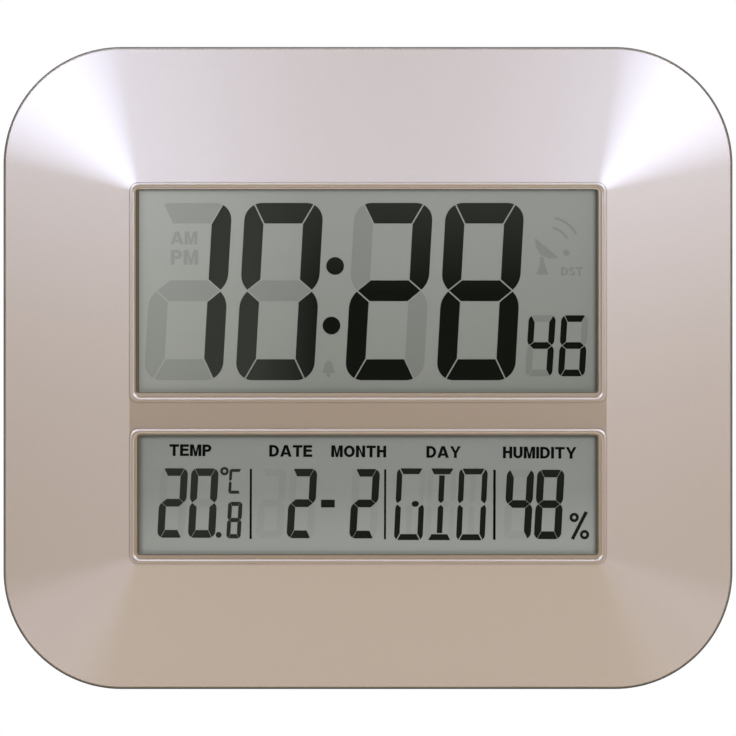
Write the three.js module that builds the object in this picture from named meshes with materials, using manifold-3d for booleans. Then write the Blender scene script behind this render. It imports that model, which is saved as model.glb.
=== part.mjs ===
// Digital wall clock with two liquid crystal displays, push buttons, a battery bay and a table stand.
// Millimetres, +Z up, the displays face -Y.
// The origin is the point on the wall plane y = 0 where the hanging screw carries the clock.
// Depths are distances in front of the wall plane, so a depth d lies at y = -d.
import * as THREE from "three";
import { mergeVertices } from "three/addons/utils/BufferGeometryUtils.js";
import Module from "manifold-3d";

const wasm = await Module();
wasm.setup();

// Case
const CASE_WIDTH = 260;
const CASE_HEIGHT = 229;
const CASE_RADIUS = 42;
const WALL = 2.2;
const REAR_DEPTH = 14;
const RIM_PROUD = 0.6;
const RIM_BAND = 2;
const BACK_INSET = 7;
const BACK_ROUND = 8;
const LIP_WIDTH = 1.2;
const LIP_HEIGHT = 3;
const LIP_CLEARANCE = 0.2;
const BEZEL_SIDE = 8;
const BEZEL_RISE = 7;

// Display windows in the bezel's raised centre
const WINDOW_WIDTH = 163;
const WINDOW_RADIUS = 1.4;
const UPPER_HEIGHT = 71.5;
const LOWER_HEIGHT = 41.4;
const FRAME_BAND = 3;
const BEAD_WIDTH = 1.2;
const BEAD_HEIGHT = 0.8;
const BEVEL_FOOT = 0.4;
const BAR_HEIGHT = 10.2;
const PLATEAU_DROP = 1.85;
const PLATEAU_MARGIN = 0.4;

// Displays, their holder and the circuit board
const LCD_RECESS = 1.4;
const LCD_MARGIN = 2.4;
const LCD_CLEARANCE = 0.3;
const FILM = 0.3;
const FILM_INSET = 1;
const GLASS = 1.1;
const LEDGE = 4;
const LAYER_GAP = 0.05;
const HOLDER_THICKNESS = 2.2;
const HOLDER_EDGE = 3;
const STRIP_WIDTH = 2.4;
const STRIP_LENGTH = 158;
const BOARD_THICKNESS = 1.6;
const BOARD_HEIGHT = 68;
const POST_RADIUS = 3.2;
const POST_EDGE = 4.6;

// Parts on the circuit board
const CHIP_RADIUS = 8;
const CHIP_HEIGHT = 1.8;
const CRYSTAL_RADIUS = 1;
const CRYSTAL_LENGTH = 6;
const CAPACITOR_RADIUS = 2.5;
const CAPACITOR_LENGTH = 7;
const PART_PITCH = 14;

// Push buttons and their switches
const BUTTON_NAMES = ["mode", "set", "up", "down", "alarm"];
const BUTTON_PITCH = 12.5;
const BUTTON_WIDTH = 9;
const BUTTON_HEIGHT = 6;
const BUTTON_RADIUS = 1.6;
const BUTTON_OUT = 0.6;
const BUTTON_TRAVEL = 0.8;
const BUTTON_CLEARANCE = 0.25;
const FLANGE = 1.2;
const STEM_RADIUS = 1.8;
const PANEL_RECESS = 1.6;
const PANEL_MARGIN = 3;
const SWITCH_SIZE = 6;
const SWITCH_HEIGHT = 4;
const PLUNGER_RADIUS = 1.6;
const PLUNGER_OUT = 1.2;
const PLUNGER_SEAT = 1;

// Battery bay, AA cells, contacts and door
const CELL_RADIUS = 7.25;
const CELL_LENGTH = 49.2;
const NUB_RADIUS = 2.75;
const NUB_LENGTH = 1.3;
const CELL_PITCH = 15.4;
const CELL_CLEARANCE = 0.5;
const CONTACT_THICKNESS = 0.4;
const CONTACT_WIDTH = 11;
const CONTACT_TAB = 4;
const CONTACT_GAP = 0.3;
const SPRING_TURNS = 4;
const SPRING_PITCH = 1.25;
const SPRING_RADIUS = 3.4;
const SPRING_WIRE = 0.7;
const LEAD_RADIUS = 0.6;
const LEAD_STEP = 6;
const LEAD_SWAY = 2.5;
const BAY_Z = 24;
const BAY_FLOOR = 1.5;
const BAY_LEDGE = 2.6;
const BAY_RIM = 2.6;
const DOOR_THICKNESS = 1.8;
const DOOR_CLEARANCE = 0.3;
const DOOR_PIN_RADIUS = 0.5;
const DOOR_PIN_LENGTH = 1.4;
const NOTCH_WIDTH = 16;
const NOTCH_HEIGHT = 6;
const NOTCH_DEPTH = 1.2;

// Table stand
const STAND_WIDTH = 64;
const STAND_LENGTH = 70;
const STAND_THICKNESS = 4.4;
const STAND_CORNER = 6;
const STAND_RAIL = 12;
const STAND_CLEARANCE = 0.4;
const STAND_FOOT = 2.5;
const STAND_PIN_RADIUS = 1.4;
const STAND_PIN_LENGTH = 2.2;

// Keyhole for the hanging screw
const HANG_DROP = 30;
const KEYHOLE_SLOT = 2.4;
const KEYHOLE_HEAD = 4.8;
const KEYHOLE_LENGTH = 11;
const KEYHOLE_POCKET = 9;
const KEYHOLE_MARGIN = 4;

// Screws
const SCREW_RADIUS = 1.45;
const SCREW_HEAD_RADIUS = 2.8;
const SCREW_HEAD_HEIGHT = 2;
const SCREW_LENGTH = 10;
const SCREW_CLEARANCE = 0.15;
const SCREW_HEAD_CLEARANCE = 0.6;
const SCREW_SEAT = 3;
const SCREW_SOCKET = 1;
const SCREW_SOCKET_WIDTH = 0.7;
const TOWER_TOP = 12;
const TOWER_WALL = 1.6;
const CASE_SCREW_INSET = 22;
const SIDE_SCREW_INSET = 15;
const BOARD_SCREW_LENGTH = 5;

// Antenna, buzzer and climate sensor on the rear cover
const ROD_RADIUS = 4;
const ROD_LENGTH = 60;
const COIL_THICKNESS = 1.1;
const COIL_LENGTH = 30;
const ANTENNA_DROP = 20;
const ANTENNA_DEPTH = 10;
const CRADLE_WIDTH = 4;
const CRADLE_WALL = 2;
const BUZZER_RADIUS = 10;
const BUZZER_HEIGHT = 3;
const BUZZER_X = -72;
const BUZZER_Z = -18;
const SENSOR_X = -78;
const SENSOR_Z = -78;
const SENSOR_WIDTH = 24;
const SENSOR_HEIGHT = 14;
const SENSOR_BOARD = 1;
const SENSOR_CHIP = 3;
const SENSOR_CHIP_HEIGHT = 1;
const SENSOR_POST_RADIUS = 2;
const SENSOR_STANDOFF = 2;
const VENT_COUNT = 5;
const VENT_WIDTH = 1.6;
const VENT_LENGTH = 14;
const VENT_PITCH = 3.6;

// Facets, and how far a cutting tool runs past the face that it opens
const CASE_STEPS = 8;
const CORNER_STEPS = 3;
const ROUND_STEPS = 14;
const BACK_STEPS = 3;
const SPRING_STEPS = 8;
const SPRING_SIDES = 5;
const LEAD_QUARTER = 4;
const LEAD_STEPS = 12;
const CUT_OVER = 1;
const MERGE_TOLERANCE = 1e-3;

// Depths that follow from the sizes above
const parting = REAR_DEPTH;
const bezelEdge = parting + BEZEL_SIDE;
const plateau = bezelEdge + BEZEL_RISE;
const lcdFace = plateau - LCD_RECESS;
const glassFront = lcdFace - FILM - LAYER_GAP;
const glassMiddle = glassFront - GLASS - LAYER_GAP;
const reflectorFront = glassMiddle - GLASS - LAYER_GAP;
const holderFront = reflectorFront - FILM - LAYER_GAP;
const holderBack = holderFront - HOLDER_THICKNESS;
const boardFront = holderBack - LAYER_GAP;
const boardBack = boardFront - BOARD_THICKNESS;
const switchBase = boardBack - LAYER_GAP;
const switchTop = switchBase - SWITCH_HEIGHT;
const plungerTop = switchTop - PLUNGER_OUT;
const panelFace = PANEL_RECESS;
const panelInner = PANEL_RECESS + WALL;
const bayInner = DOOR_THICKNESS + 2 * CELL_RADIUS + 2 * CELL_CLEARANCE;
const bayBack = bayInner + BAY_FLOOR;
const cellDepth = DOOR_THICKNESS + CELL_CLEARANCE + CELL_RADIUS;
const screwSeat = TOWER_TOP - SCREW_SEAT;
const leadDepth = (bayBack + boardBack) / 2;

// Places that follow from the sizes above, measured from the case's centre
const plateauWidth = WINDOW_WIDTH + 2 * FRAME_BAND + 2 * PLATEAU_MARGIN;
const plateauHeight =
  UPPER_HEIGHT + LOWER_HEIGHT + 4 * FRAME_BAND + BAR_HEIGHT + 2 * PLATEAU_MARGIN;
const plateauTop = plateauHeight / 2 - PLATEAU_DROP;
const upperZ = plateauTop - PLATEAU_MARGIN - FRAME_BAND - UPPER_HEIGHT / 2;
const barZ = upperZ - UPPER_HEIGHT / 2 - FRAME_BAND - BAR_HEIGHT / 2;
const lowerZ = barZ - BAR_HEIGHT / 2 - FRAME_BAND - LOWER_HEIGHT / 2;
const holeRadius = SCREW_RADIUS + SCREW_CLEARANCE;
const bossRadius = holeRadius + TOWER_WALL;
const postX = WINDOW_WIDTH / 2 + LCD_MARGIN + LCD_CLEARANCE + POST_RADIUS;
const boardWidth = 2 * (postX + POST_EDGE);
const postZ = BOARD_HEIGHT / 2 - POST_EDGE;
const buttonX = postX - POST_RADIUS - POST_EDGE - SWITCH_SIZE;
const springLength = (SPRING_TURNS - 1) * SPRING_PITCH + 3 * SPRING_WIRE;
const bayLength =
  CELL_LENGTH + NUB_LENGTH + springLength + 2 * CONTACT_THICKNESS + 4 * CONTACT_GAP;
const contactX = bayLength / 2 - CONTACT_GAP - CONTACT_THICKNESS / 2;
const bayHeight = CELL_PITCH + 2 * CELL_RADIUS + 2 * CELL_CLEARANCE;
const doorWidth = bayLength + 2 * BAY_LEDGE;
const doorHeight = bayHeight + 2 * BAY_LEDGE;
const doorPivot = BAY_Z + doorHeight / 2 - DOOR_THICKNESS / 2;
const standPivot = STAND_FOOT - CASE_HEIGHT / 2 + STAND_LENGTH - STAND_THICKNESS / 2;
const hangZ = CASE_HEIGHT / 2 - HANG_DROP;
const antennaX = (CASE_SCREW_INSET - CASE_WIDTH / 2) / 2;
const antennaZ = CASE_HEIGHT / 2 - ANTENNA_DROP;

const WINDOWS = [
  { name: "upper", height: UPPER_HEIGHT, z: upperZ, ledgeSide: -1 },
  { name: "lower", height: LOWER_HEIGHT, z: lowerZ, ledgeSide: 1 },
];
const CASE_SCREWS = [
  [1, CASE_SCREW_INSET, CASE_HEIGHT / 2 - CASE_SCREW_INSET],
  [-1, CASE_SCREW_INSET, CASE_HEIGHT / 2 - CASE_SCREW_INSET],
  [1, SIDE_SCREW_INSET, barZ],
  [-1, SIDE_SCREW_INSET, barZ],
  [1, CASE_SCREW_INSET, CASE_SCREW_INSET - CASE_HEIGHT / 2],
  [-1, CASE_SCREW_INSET, CASE_SCREW_INSET - CASE_HEIGHT / 2],
].map(([side, inset, z]) => ({ x: side * (CASE_WIDTH / 2 - inset), z }));
const BOARD_SCREWS = [
  { x: -postX, z: barZ + postZ },
  { x: postX, z: barZ + postZ },
  { x: -postX, z: barZ - postZ },
  { x: postX, z: barZ - postZ },
];

// A closed geometry as a solid that can be joined and cut
function solid(geometry) {
  const bare = geometry.clone();
  bare.deleteAttribute("normal");
  bare.deleteAttribute("uv");
  const merged = mergeVertices(bare, MERGE_TOLERANCE);
  const corners = merged.index.array;
  const triangles = [];
  for (let i = 0; i < corners.length; i += 3) {
    const [a, b, c] = corners.slice(i, i + 3);
    if (a !== b && b !== c && c !== a) triangles.push(a, b, c);
  }
  return new wasm.Manifold(
    new wasm.Mesh({
      numProp: 3,
      vertProperties: merged.attributes.position.array,
      triVerts: new Uint32Array(triangles),
    }),
  );
}

function joined(first, ...others) {
  return others.reduce((whole, part) => whole.add(part), first);
}

function cut(whole, ...tools) {
  return tools.reduce((rest, tool) => rest.subtract(tool), whole);
}

// A solid's faces as a geometry that a mesh can show
function geometryOf(body) {
  const mesh = body.getMesh();
  const geometry = new THREE.BufferGeometry();
  const positions = new Float32Array(mesh.numVert * 3);
  for (let i = 0; i < mesh.numVert; i++) {
    const start = i * mesh.numProp;
    positions.set(mesh.vertProperties.subarray(start, start + 3), i * 3);
  }
  geometry.setAttribute("position", new THREE.BufferAttribute(positions, 3));
  geometry.setIndex(new THREE.BufferAttribute(mesh.triVerts, 1));
  geometry.computeVertexNormals();
  return geometry;
}

// Rounded rectangle round (x, z), running counter-clockwise as seen from the front
function outline(width, height, radius, x = 0, z = 0, steps = CORNER_STEPS) {
  const points = [];
  const corners = [
    [1, 1],
    [-1, 1],
    [-1, -1],
    [1, -1],
  ];
  corners.forEach(([sideX, sideZ], quarter) => {
    const centreX = x + sideX * (width / 2 - radius);
    const centreZ = z + sideZ * (height / 2 - radius);
    for (let i = 0; i <= steps; i++) {
      const angle = (quarter + i / steps) * (Math.PI / 2);
      const right = centreX + radius * Math.cos(angle);
      points.push(new THREE.Vector2(right, centreZ + radius * Math.sin(angle)));
    }
  });
  return points;
}

// The case's outline, grown by an offset
function caseOutline(offset) {
  const width = CASE_WIDTH + 2 * offset;
  return outline(width, CASE_HEIGHT + 2 * offset, CASE_RADIUS + offset, 0, 0, CASE_STEPS);
}

// A window's outline, grown by an offset
function windowOutline({ height, z }, offset) {
  const radius = WINDOW_RADIUS + Math.max(offset, 0) / 2;
  return outline(WINDOW_WIDTH + 2 * offset, height + 2 * offset, radius, 0, z);
}

// Solid through a row of [outline, depth] sections, from the back to the front
function loft(...sections) {
  const count = sections[0][0].length;
  const positions = [];
  for (const [points, depth] of sections) {
    for (const point of points) positions.push(point.x, -depth, point.y);
  }
  const triangles = [];
  for (let level = 0; level + 1 < sections.length; level++) {
    for (let i = 0; i < count; i++) {
      const a = level * count + i;
      const b = level * count + ((i + 1) % count);
      triangles.push(a, b, b + count, a, b + count, a + count);
    }
  }
  const top = (sections.length - 1) * count;
  for (const [a, b, c] of THREE.ShapeUtils.triangulateShape(sections[0][0], [])) {
    triangles.push(c, b, a);
  }
  for (const [a, b, c] of THREE.ShapeUtils.triangulateShape(sections.at(-1)[0], [])) {
    triangles.push(top + a, top + b, top + c);
  }
  const geometry = new THREE.BufferGeometry();
  geometry.setAttribute("position", new THREE.Float32BufferAttribute(positions, 3));
  geometry.setIndex(triangles);
  return solid(geometry);
}

function prism(points, back, front) {
  return loft([points, back], [points, front]);
}

function block(width, height, x, z, back, front) {
  const geometry = new THREE.BoxGeometry(width, front - back, height);
  return solid(geometry.translate(x, -(back + front) / 2, z));
}

// Round post square to the wall
function post(radius, x, z, back, front) {
  const geometry = new THREE.CylinderGeometry(radius, radius, front - back, ROUND_STEPS);
  return solid(geometry.translate(x, -(back + front) / 2, z));
}

// Round bar along X, centred on (x, depth, z)
function bar(radius, length, x, depth, z) {
  const geometry = new THREE.CylinderGeometry(radius, radius, length, ROUND_STEPS);
  return solid(geometry.rotateZ(Math.PI / 2).translate(x, -depth, z));
}

// Solid of revolution about the Y axis, from [radius, y] pairs with y rising
function turned(profile) {
  const points = profile.map(([radius, y]) => new THREE.Vector2(radius, y));
  return new THREE.LatheGeometry(points, ROUND_STEPS);
}

// Materials
function finish(color, roughness, metalness = 0) {
  return new THREE.MeshStandardMaterial({ color, roughness, metalness });
}
const CHAMPAGNE = finish(0xc3b2a4, 0.38, 0.6);
const DARK_CASE = finish(0x5c5852, 0.6);
const FILM_GREY = finish(0xa0a39f, 0.55);
const CLEAR_GLASS = finish(0xc8d0cc, 0.1);
const SILVER_FILM = finish(0xb9bcb8, 0.35, 0.7);
const WHITE_PLASTIC = finish(0xd9d6cc, 0.6);
const RUBBER_GREY = finish(0x4a4a4a, 0.8);
const BOARD_GREEN = finish(0x2f5a3a, 0.5);
const RESIN_BLACK = finish(0x151515, 0.35);
const BRIGHT_METAL = finish(0xc9c9c6, 0.25, 0.9);
const BUTTON_GREY = finish(0x3a3835, 0.55);
const CELL_SHELL = finish(0x35587c, 0.35, 0.3);
const FERRITE = finish(0x33302e, 0.7);
const COPPER = finish(0xb0713c, 0.35, 0.8);
const RED_WIRE = finish(0xb0281f, 0.5);
const BLACK_WIRE = finish(0x1d1d1d, 0.5);

// The clock, carried at its case's centre
const clock = new THREE.Group();
clock.position.z = -hangZ;

function piece(name, body, material, x = 0, y = 0, z = 0) {
  const geometry = body.isBufferGeometry ? body : geometryOf(body);
  const mesh = new THREE.Mesh(geometry, material);
  mesh.name = name;
  mesh.position.set(x, y, z);
  clock.add(mesh);
  return mesh;
}

// Front bezel: flat and conical faces rise to the raised centre with its two framed windows
function frontBezel() {
  const rim = caseOutline(-RIM_PROUD);
  const inner = caseOutline(-RIM_PROUD - WALL);
  const crownRadius = WINDOW_RADIUS + FRAME_BAND / 2 + PLATEAU_MARGIN;
  const crown = outline(plateauWidth, plateauHeight, crownRadius, 0, -PLATEAU_DROP, CASE_STEPS);
  const outside = loft([rim, parting], [rim, bezelEdge], [crown, plateau]);
  const hollow = loft(
    [inner, parting - CUT_OVER],
    [inner, bezelEdge - WALL],
    [crown, plateau - WALL],
  );
  const envelope = loft([rim, 0], [rim, bezelEdge], [crown, plateau]);
  const bosses = CASE_SCREWS.map(({ x, z }) =>
    post(bossRadius, x, z, TOWER_TOP + LAYER_GAP, plateau).intersect(envelope),
  );
  const posts = BOARD_SCREWS.map(({ x, z }) =>
    post(POST_RADIUS, x, z, holderFront + LAYER_GAP, plateau).intersect(envelope),
  );
  const beads = WINDOWS.map((window) =>
    loft(
      [windowOutline(window, FRAME_BAND), plateau - WALL / 2],
      [windowOutline(window, FRAME_BAND), plateau],
      [windowOutline(window, FRAME_BAND - BEAD_WIDTH / 2), plateau + BEAD_HEIGHT],
    ),
  );
  const openings = WINDOWS.map((window) =>
    loft(
      [windowOutline(window, 0), lcdFace - CUT_OVER],
      [windowOutline(window, 0), lcdFace + BEVEL_FOOT],
      [windowOutline(window, FRAME_BAND - BEAD_WIDTH), plateau + BEAD_HEIGHT],
      [windowOutline(window, FRAME_BAND - BEAD_WIDTH), plateau + BEAD_HEIGHT + CUT_OVER],
    ),
  );
  const pocketMargin = LCD_MARGIN + LCD_CLEARANCE;
  const pockets = WINDOWS.map(({ height, z }) =>
    block(
      WINDOW_WIDTH + 2 * pocketMargin,
      height + 2 * pocketMargin,
      0,
      z,
      plateau - WALL - CUT_OVER,
      lcdFace + LAYER_GAP,
    ),
  );
  const pilots = [
    ...CASE_SCREWS.map(({ x, z }) =>
      post(holeRadius, x, z, TOWER_TOP - CUT_OVER, screwSeat + SCREW_LENGTH + CUT_OVER),
    ),
    ...BOARD_SCREWS.map(({ x, z }) =>
      post(holeRadius, x, z, holderFront - CUT_OVER, boardBack + BOARD_SCREW_LENGTH + CUT_OVER),
    ),
  ];
  const shell = joined(cut(outside, hollow), ...bosses, ...posts, ...beads);
  return cut(shell, ...openings, ...pockets, ...pilots);
}

// Sections of the rear cover's rounded back edge
function backSections(inset, start) {
  const sections = [];
  for (let i = 0; i <= BACK_STEPS; i++) {
    const angle = (i / BACK_STEPS) * (Math.PI / 2);
    const offset = -inset - BACK_INSET * (1 - Math.sin(angle));
    sections.push([caseOutline(offset), start + BACK_ROUND * (1 - Math.cos(angle))]);
  }
  return sections;
}

// Row of short slots through the back wall
function vents(x, z) {
  const slots = [];
  for (let i = 0; i < VENT_COUNT; i++) {
    const slotZ = z + (i - (VENT_COUNT - 1) / 2) * VENT_PITCH;
    const points = outline(VENT_LENGTH, VENT_WIDTH, VENT_WIDTH / 2, x, slotZ);
    slots.push(prism(points, -CUT_OVER, WALL + CUT_OVER));
  }
  return slots;
}

// What the rear cover carries inside, each as what is added and what is then cut away
function screwTowers() {
  const headRadius = SCREW_HEAD_RADIUS + SCREW_HEAD_CLEARANCE;
  return {
    added: CASE_SCREWS.map(({ x, z }) => post(headRadius + TOWER_WALL, x, z, 0, TOWER_TOP)),
    removed: CASE_SCREWS.flatMap(({ x, z }) => [
      post(headRadius, x, z, -CUT_OVER, screwSeat),
      post(holeRadius, x, z, -CUT_OVER, TOWER_TOP + CUT_OVER),
    ]),
  };
}

function batteryBay() {
  const blockWidth = doorWidth + 2 * BAY_RIM;
  const blockHeight = doorHeight + 2 * BAY_RIM;
  const seatWidth = doorWidth + 2 * DOOR_CLEARANCE;
  const seatHeight = doorHeight + 2 * DOOR_CLEARANCE;
  const pinLength = doorWidth + 2 * (DOOR_PIN_LENGTH + DOOR_CLEARANCE);
  const notch = outline(NOTCH_WIDTH, NOTCH_HEIGHT, NOTCH_HEIGHT / 2, 0, BAY_Z - doorHeight / 2);
  const slots = [1, -1].map((row) =>
    block(
      CONTACT_THICKNESS + 2 * CONTACT_GAP,
      CONTACT_TAB + 2 * CONTACT_GAP,
      contactX,
      BAY_Z + (row * CELL_PITCH) / 2,
      cellDepth,
      bayBack + CUT_OVER,
    ),
  );
  return {
    added: [block(blockWidth, blockHeight, 0, BAY_Z, 0, bayBack)],
    removed: [
      block(seatWidth, seatHeight, 0, BAY_Z, -CUT_OVER, DOOR_THICKNESS + LAYER_GAP),
      block(bayLength, bayHeight, 0, BAY_Z, -CUT_OVER, bayInner),
      bar(DOOR_PIN_RADIUS + DOOR_CLEARANCE, pinLength, 0, DOOR_THICKNESS / 2, doorPivot),
      prism(notch, -CUT_OVER, NOTCH_DEPTH),
      ...slots,
    ],
  };
}

function standRecess() {
  const bottom = -CASE_HEIGHT / 2 - CUT_OVER;
  const top = standPivot + STAND_THICKNESS / 2 + STAND_CLEARANCE;
  const width = STAND_WIDTH + 2 * STAND_CLEARANCE;
  const floor = STAND_THICKNESS + STAND_CLEARANCE;
  const side = STAND_PIN_LENGTH + WALL;
  const height = top - bottom;
  const middle = (top + bottom) / 2;
  const pinLength = width + 2 * STAND_PIN_LENGTH;
  const pinHole = STAND_PIN_RADIUS + STAND_CLEARANCE;
  return {
    added: [block(width + 2 * side, height + WALL, 0, middle + WALL / 2, 0, floor + WALL)],
    removed: [
      block(width, height, 0, middle, -CUT_OVER, floor),
      bar(pinHole, pinLength, 0, STAND_THICKNESS / 2, standPivot),
    ],
  };
}

function keyhole() {
  const reach = KEYHOLE_HEAD + KEYHOLE_MARGIN;
  const width = 2 * reach;
  const height = KEYHOLE_LENGTH + 2 * reach;
  const middle = hangZ - KEYHOLE_LENGTH / 2;
  const floor = WALL + KEYHOLE_POCKET;
  return {
    added: [block(width + 2 * WALL, height + 2 * WALL, 0, middle, 0, floor + WALL)],
    removed: [
      block(width, height, 0, middle, WALL, floor),
      post(KEYHOLE_HEAD, 0, hangZ - KEYHOLE_LENGTH, -CUT_OVER, WALL + CUT_OVER),
      post(KEYHOLE_SLOT, 0, hangZ, -CUT_OVER, WALL + CUT_OVER),
      block(2 * KEYHOLE_SLOT, KEYHOLE_LENGTH, 0, middle, -CUT_OVER, WALL + CUT_OVER),
    ],
  };
}

function buttonZ(index) {
  return barZ + ((BUTTON_NAMES.length - 1) / 2 - index) * BUTTON_PITCH;
}

function buttonOutline(offset, x = 0, z = 0) {
  const width = BUTTON_WIDTH + 2 * offset;
  return outline(width, BUTTON_HEIGHT + 2 * offset, BUTTON_RADIUS + offset / 2, x, z);
}

function buttonPanel() {
  const width = BUTTON_WIDTH + 2 * PANEL_MARGIN;
  const span = (BUTTON_NAMES.length - 1) * BUTTON_PITCH;
  const height = span + BUTTON_HEIGHT + 2 * PANEL_MARGIN;
  const recess = outline(width, height, BUTTON_RADIUS + PANEL_MARGIN / 2, buttonX, barZ);
  const holes = BUTTON_NAMES.map((_, index) =>
    prism(
      buttonOutline(BUTTON_CLEARANCE, buttonX, buttonZ(index)),
      -CUT_OVER,
      panelInner + CUT_OVER,
    ),
  );
  return {
    added: [block(width + 2 * WALL, height + 2 * WALL, buttonX, barZ, 0, panelInner)],
    removed: [prism(recess, -CUT_OVER, panelFace), ...holes],
  };
}

function antennaCradles() {
  const reach = ROD_LENGTH / 2 - CRADLE_WIDTH;
  const height = 2 * (ROD_RADIUS + CONTACT_GAP + CRADLE_WALL);
  return {
    added: [-1, 1].map((side) =>
      block(CRADLE_WIDTH, height, antennaX + side * reach, antennaZ, 0, ANTENNA_DEPTH),
    ),
    removed: [
      bar(ROD_RADIUS + CONTACT_GAP, ROD_LENGTH + CUT_OVER, antennaX, ANTENNA_DEPTH, antennaZ),
    ],
  };
}

function buzzerSeat() {
  const seat = BUZZER_RADIUS + CONTACT_GAP;
  return {
    added: [post(seat + TOWER_WALL, BUZZER_X, BUZZER_Z, 0, WALL + BUZZER_HEIGHT)],
    removed: [
      post(seat, BUZZER_X, BUZZER_Z, WALL, WALL + BUZZER_HEIGHT + CUT_OVER),
      ...vents(BUZZER_X, BUZZER_Z),
    ],
  };
}

function sensorSeat() {
  const reach = SENSOR_WIDTH / 2 - SENSOR_POST_RADIUS;
  return {
    added: [-1, 1].map((side) =>
      post(SENSOR_POST_RADIUS, SENSOR_X + side * reach, SENSOR_Z, 0, WALL + SENSOR_STANDOFF),
    ),
    removed: vents(SENSOR_X, SENSOR_Z),
  };
}

// Rear cover: a dish with a proud rim and a lip that centres the bezel
function rearCover() {
  const lipInset = RIM_PROUD + WALL + LIP_CLEARANCE;
  const rimFront = parting - LAYER_GAP;
  const rimBack = rimFront - RIM_BAND;
  const outside = loft(
    ...backSections(RIM_PROUD, 0),
    [caseOutline(-RIM_PROUD), rimBack],
    [caseOutline(0), rimBack],
    [caseOutline(0), rimFront],
    [caseOutline(-lipInset), rimFront],
    [caseOutline(-lipInset), rimFront + LIP_HEIGHT],
  );
  const innerInset = lipInset + LIP_WIDTH;
  const hollow = loft(
    ...backSections(innerInset, WALL),
    [caseOutline(-innerInset), rimFront + LIP_HEIGHT + CUT_OVER],
  );
  const envelope = loft(
    ...backSections(RIM_PROUD, 0),
    [caseOutline(-RIM_PROUD), plateau],
  );
  const features = [
    screwTowers(),
    batteryBay(),
    standRecess(),
    keyhole(),
    buttonPanel(),
    antennaCradles(),
    buzzerSeat(),
    sensorSeat(),
  ];
  const added = features.flatMap((feature) => feature.added);
  const removed = features.flatMap((feature) => feature.removed);
  const shell = joined(cut(outside, hollow), ...added.map((part) => part.intersect(envelope)));
  return cut(shell, ...removed);
}

piece("front_bezel", frontBezel(), CHAMPAGNE);
piece("rear_cover", rearCover(), DARK_CASE);

// Displays: polariser, two sheets of glass with a contact ledge, and a reflector
function sheet({ height, z, ledgeSide }, inset, ledge, back, front) {
  const width = WINDOW_WIDTH + 2 * (LCD_MARGIN - inset);
  const tall = height + 2 * (LCD_MARGIN - inset) - ledge;
  return block(width, tall, 0, z - (ledgeSide * ledge) / 2, back, front);
}

function stripZ({ height, z, ledgeSide }) {
  return z + ledgeSide * (height / 2 + LCD_MARGIN - LEDGE / 2);
}

for (const window of WINDOWS) {
  const name = window.name + "_display_";
  const film = sheet(window, FILM_INSET, 0, lcdFace - FILM, lcdFace);
  const frontGlass = sheet(window, 0, 0, glassFront - GLASS, glassFront);
  const rearGlass = sheet(window, 0, LEDGE, glassMiddle - GLASS, glassMiddle);
  const reflector = sheet(window, FILM_INSET, LEDGE, reflectorFront - FILM, reflectorFront);
  const stripBack = boardFront + LAYER_GAP;
  const strip = block(STRIP_LENGTH, STRIP_WIDTH, 0, stripZ(window), stripBack, glassMiddle);
  piece(name + "front_polariser", film, FILM_GREY);
  piece(name + "front_glass", frontGlass, CLEAR_GLASS);
  piece(name + "rear_glass", rearGlass, CLEAR_GLASS);
  piece(name + "reflector", reflector, SILVER_FILM);
  piece(name + "contact_strip", strip, RUBBER_GREY);
}

// Holder plate behind the displays, with slots for the contact strips
function displayHolder() {
  const margin = LCD_MARGIN + HOLDER_EDGE - FRAME_BAND - PLATEAU_MARGIN;
  const height = plateauHeight + 2 * margin;
  const points = outline(boardWidth, height, WINDOW_RADIUS, 0, -PLATEAU_DROP);
  const slots = WINDOWS.map((window) =>
    block(
      STRIP_LENGTH + 2 * LCD_CLEARANCE,
      STRIP_WIDTH + 2 * LCD_CLEARANCE,
      0,
      stripZ(window),
      holderBack - CUT_OVER,
      holderFront + CUT_OVER,
    ),
  );
  return cut(prism(points, holderBack, holderFront), ...slots, ...boardHoles());
}

function boardHoles() {
  return BOARD_SCREWS.map(({ x, z }) =>
    post(holeRadius, x, z, boardBack - CUT_OVER, holderFront + CUT_OVER),
  );
}

function circuitBoard() {
  const points = outline(boardWidth, BOARD_HEIGHT, WINDOW_RADIUS, 0, barZ);
  return cut(prism(points, boardBack, boardFront), ...boardHoles());
}

piece("display_holder", displayHolder(), WHITE_PLASTIC);
piece("circuit_board", circuitBoard(), BOARD_GREEN);

// Parts soldered to the back of the board
function driverChip() {
  const profile = [[0, 0]];
  for (let i = 0; i <= CORNER_STEPS; i++) {
    const angle = (i / CORNER_STEPS) * (Math.PI / 2);
    const radius = i === CORNER_STEPS ? 0 : CHIP_RADIUS * Math.cos(angle);
    profile.push([radius, CHIP_HEIGHT * Math.sin(angle)]);
  }
  return solid(turned(profile));
}

const crystalDepth = switchBase - CRYSTAL_RADIUS;
const capacitorDepth = switchBase - CAPACITOR_RADIUS;
piece("driver_chip", driverChip(), RESIN_BLACK, -buttonX, -switchBase, barZ);
piece(
  "quartz_crystal",
  bar(CRYSTAL_RADIUS, CRYSTAL_LENGTH, -buttonX, crystalDepth, barZ + PART_PITCH),
  BRIGHT_METAL,
);
piece(
  "capacitor",
  bar(CAPACITOR_RADIUS, CAPACITOR_LENGTH, -buttonX, capacitorDepth, barZ - PART_PITCH),
  RESIN_BLACK,
);

// Push buttons, modelled round their own axis and placed in a column
function pushButton() {
  const flangeBack = panelInner + LAYER_GAP;
  const flangeFront = flangeBack + FLANGE;
  return joined(
    prism(buttonOutline(0), BUTTON_OUT, flangeFront),
    prism(buttonOutline(FLANGE), flangeBack, flangeFront),
    post(STEM_RADIUS, 0, 0, flangeBack, plungerTop - LAYER_GAP),
  );
}

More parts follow.
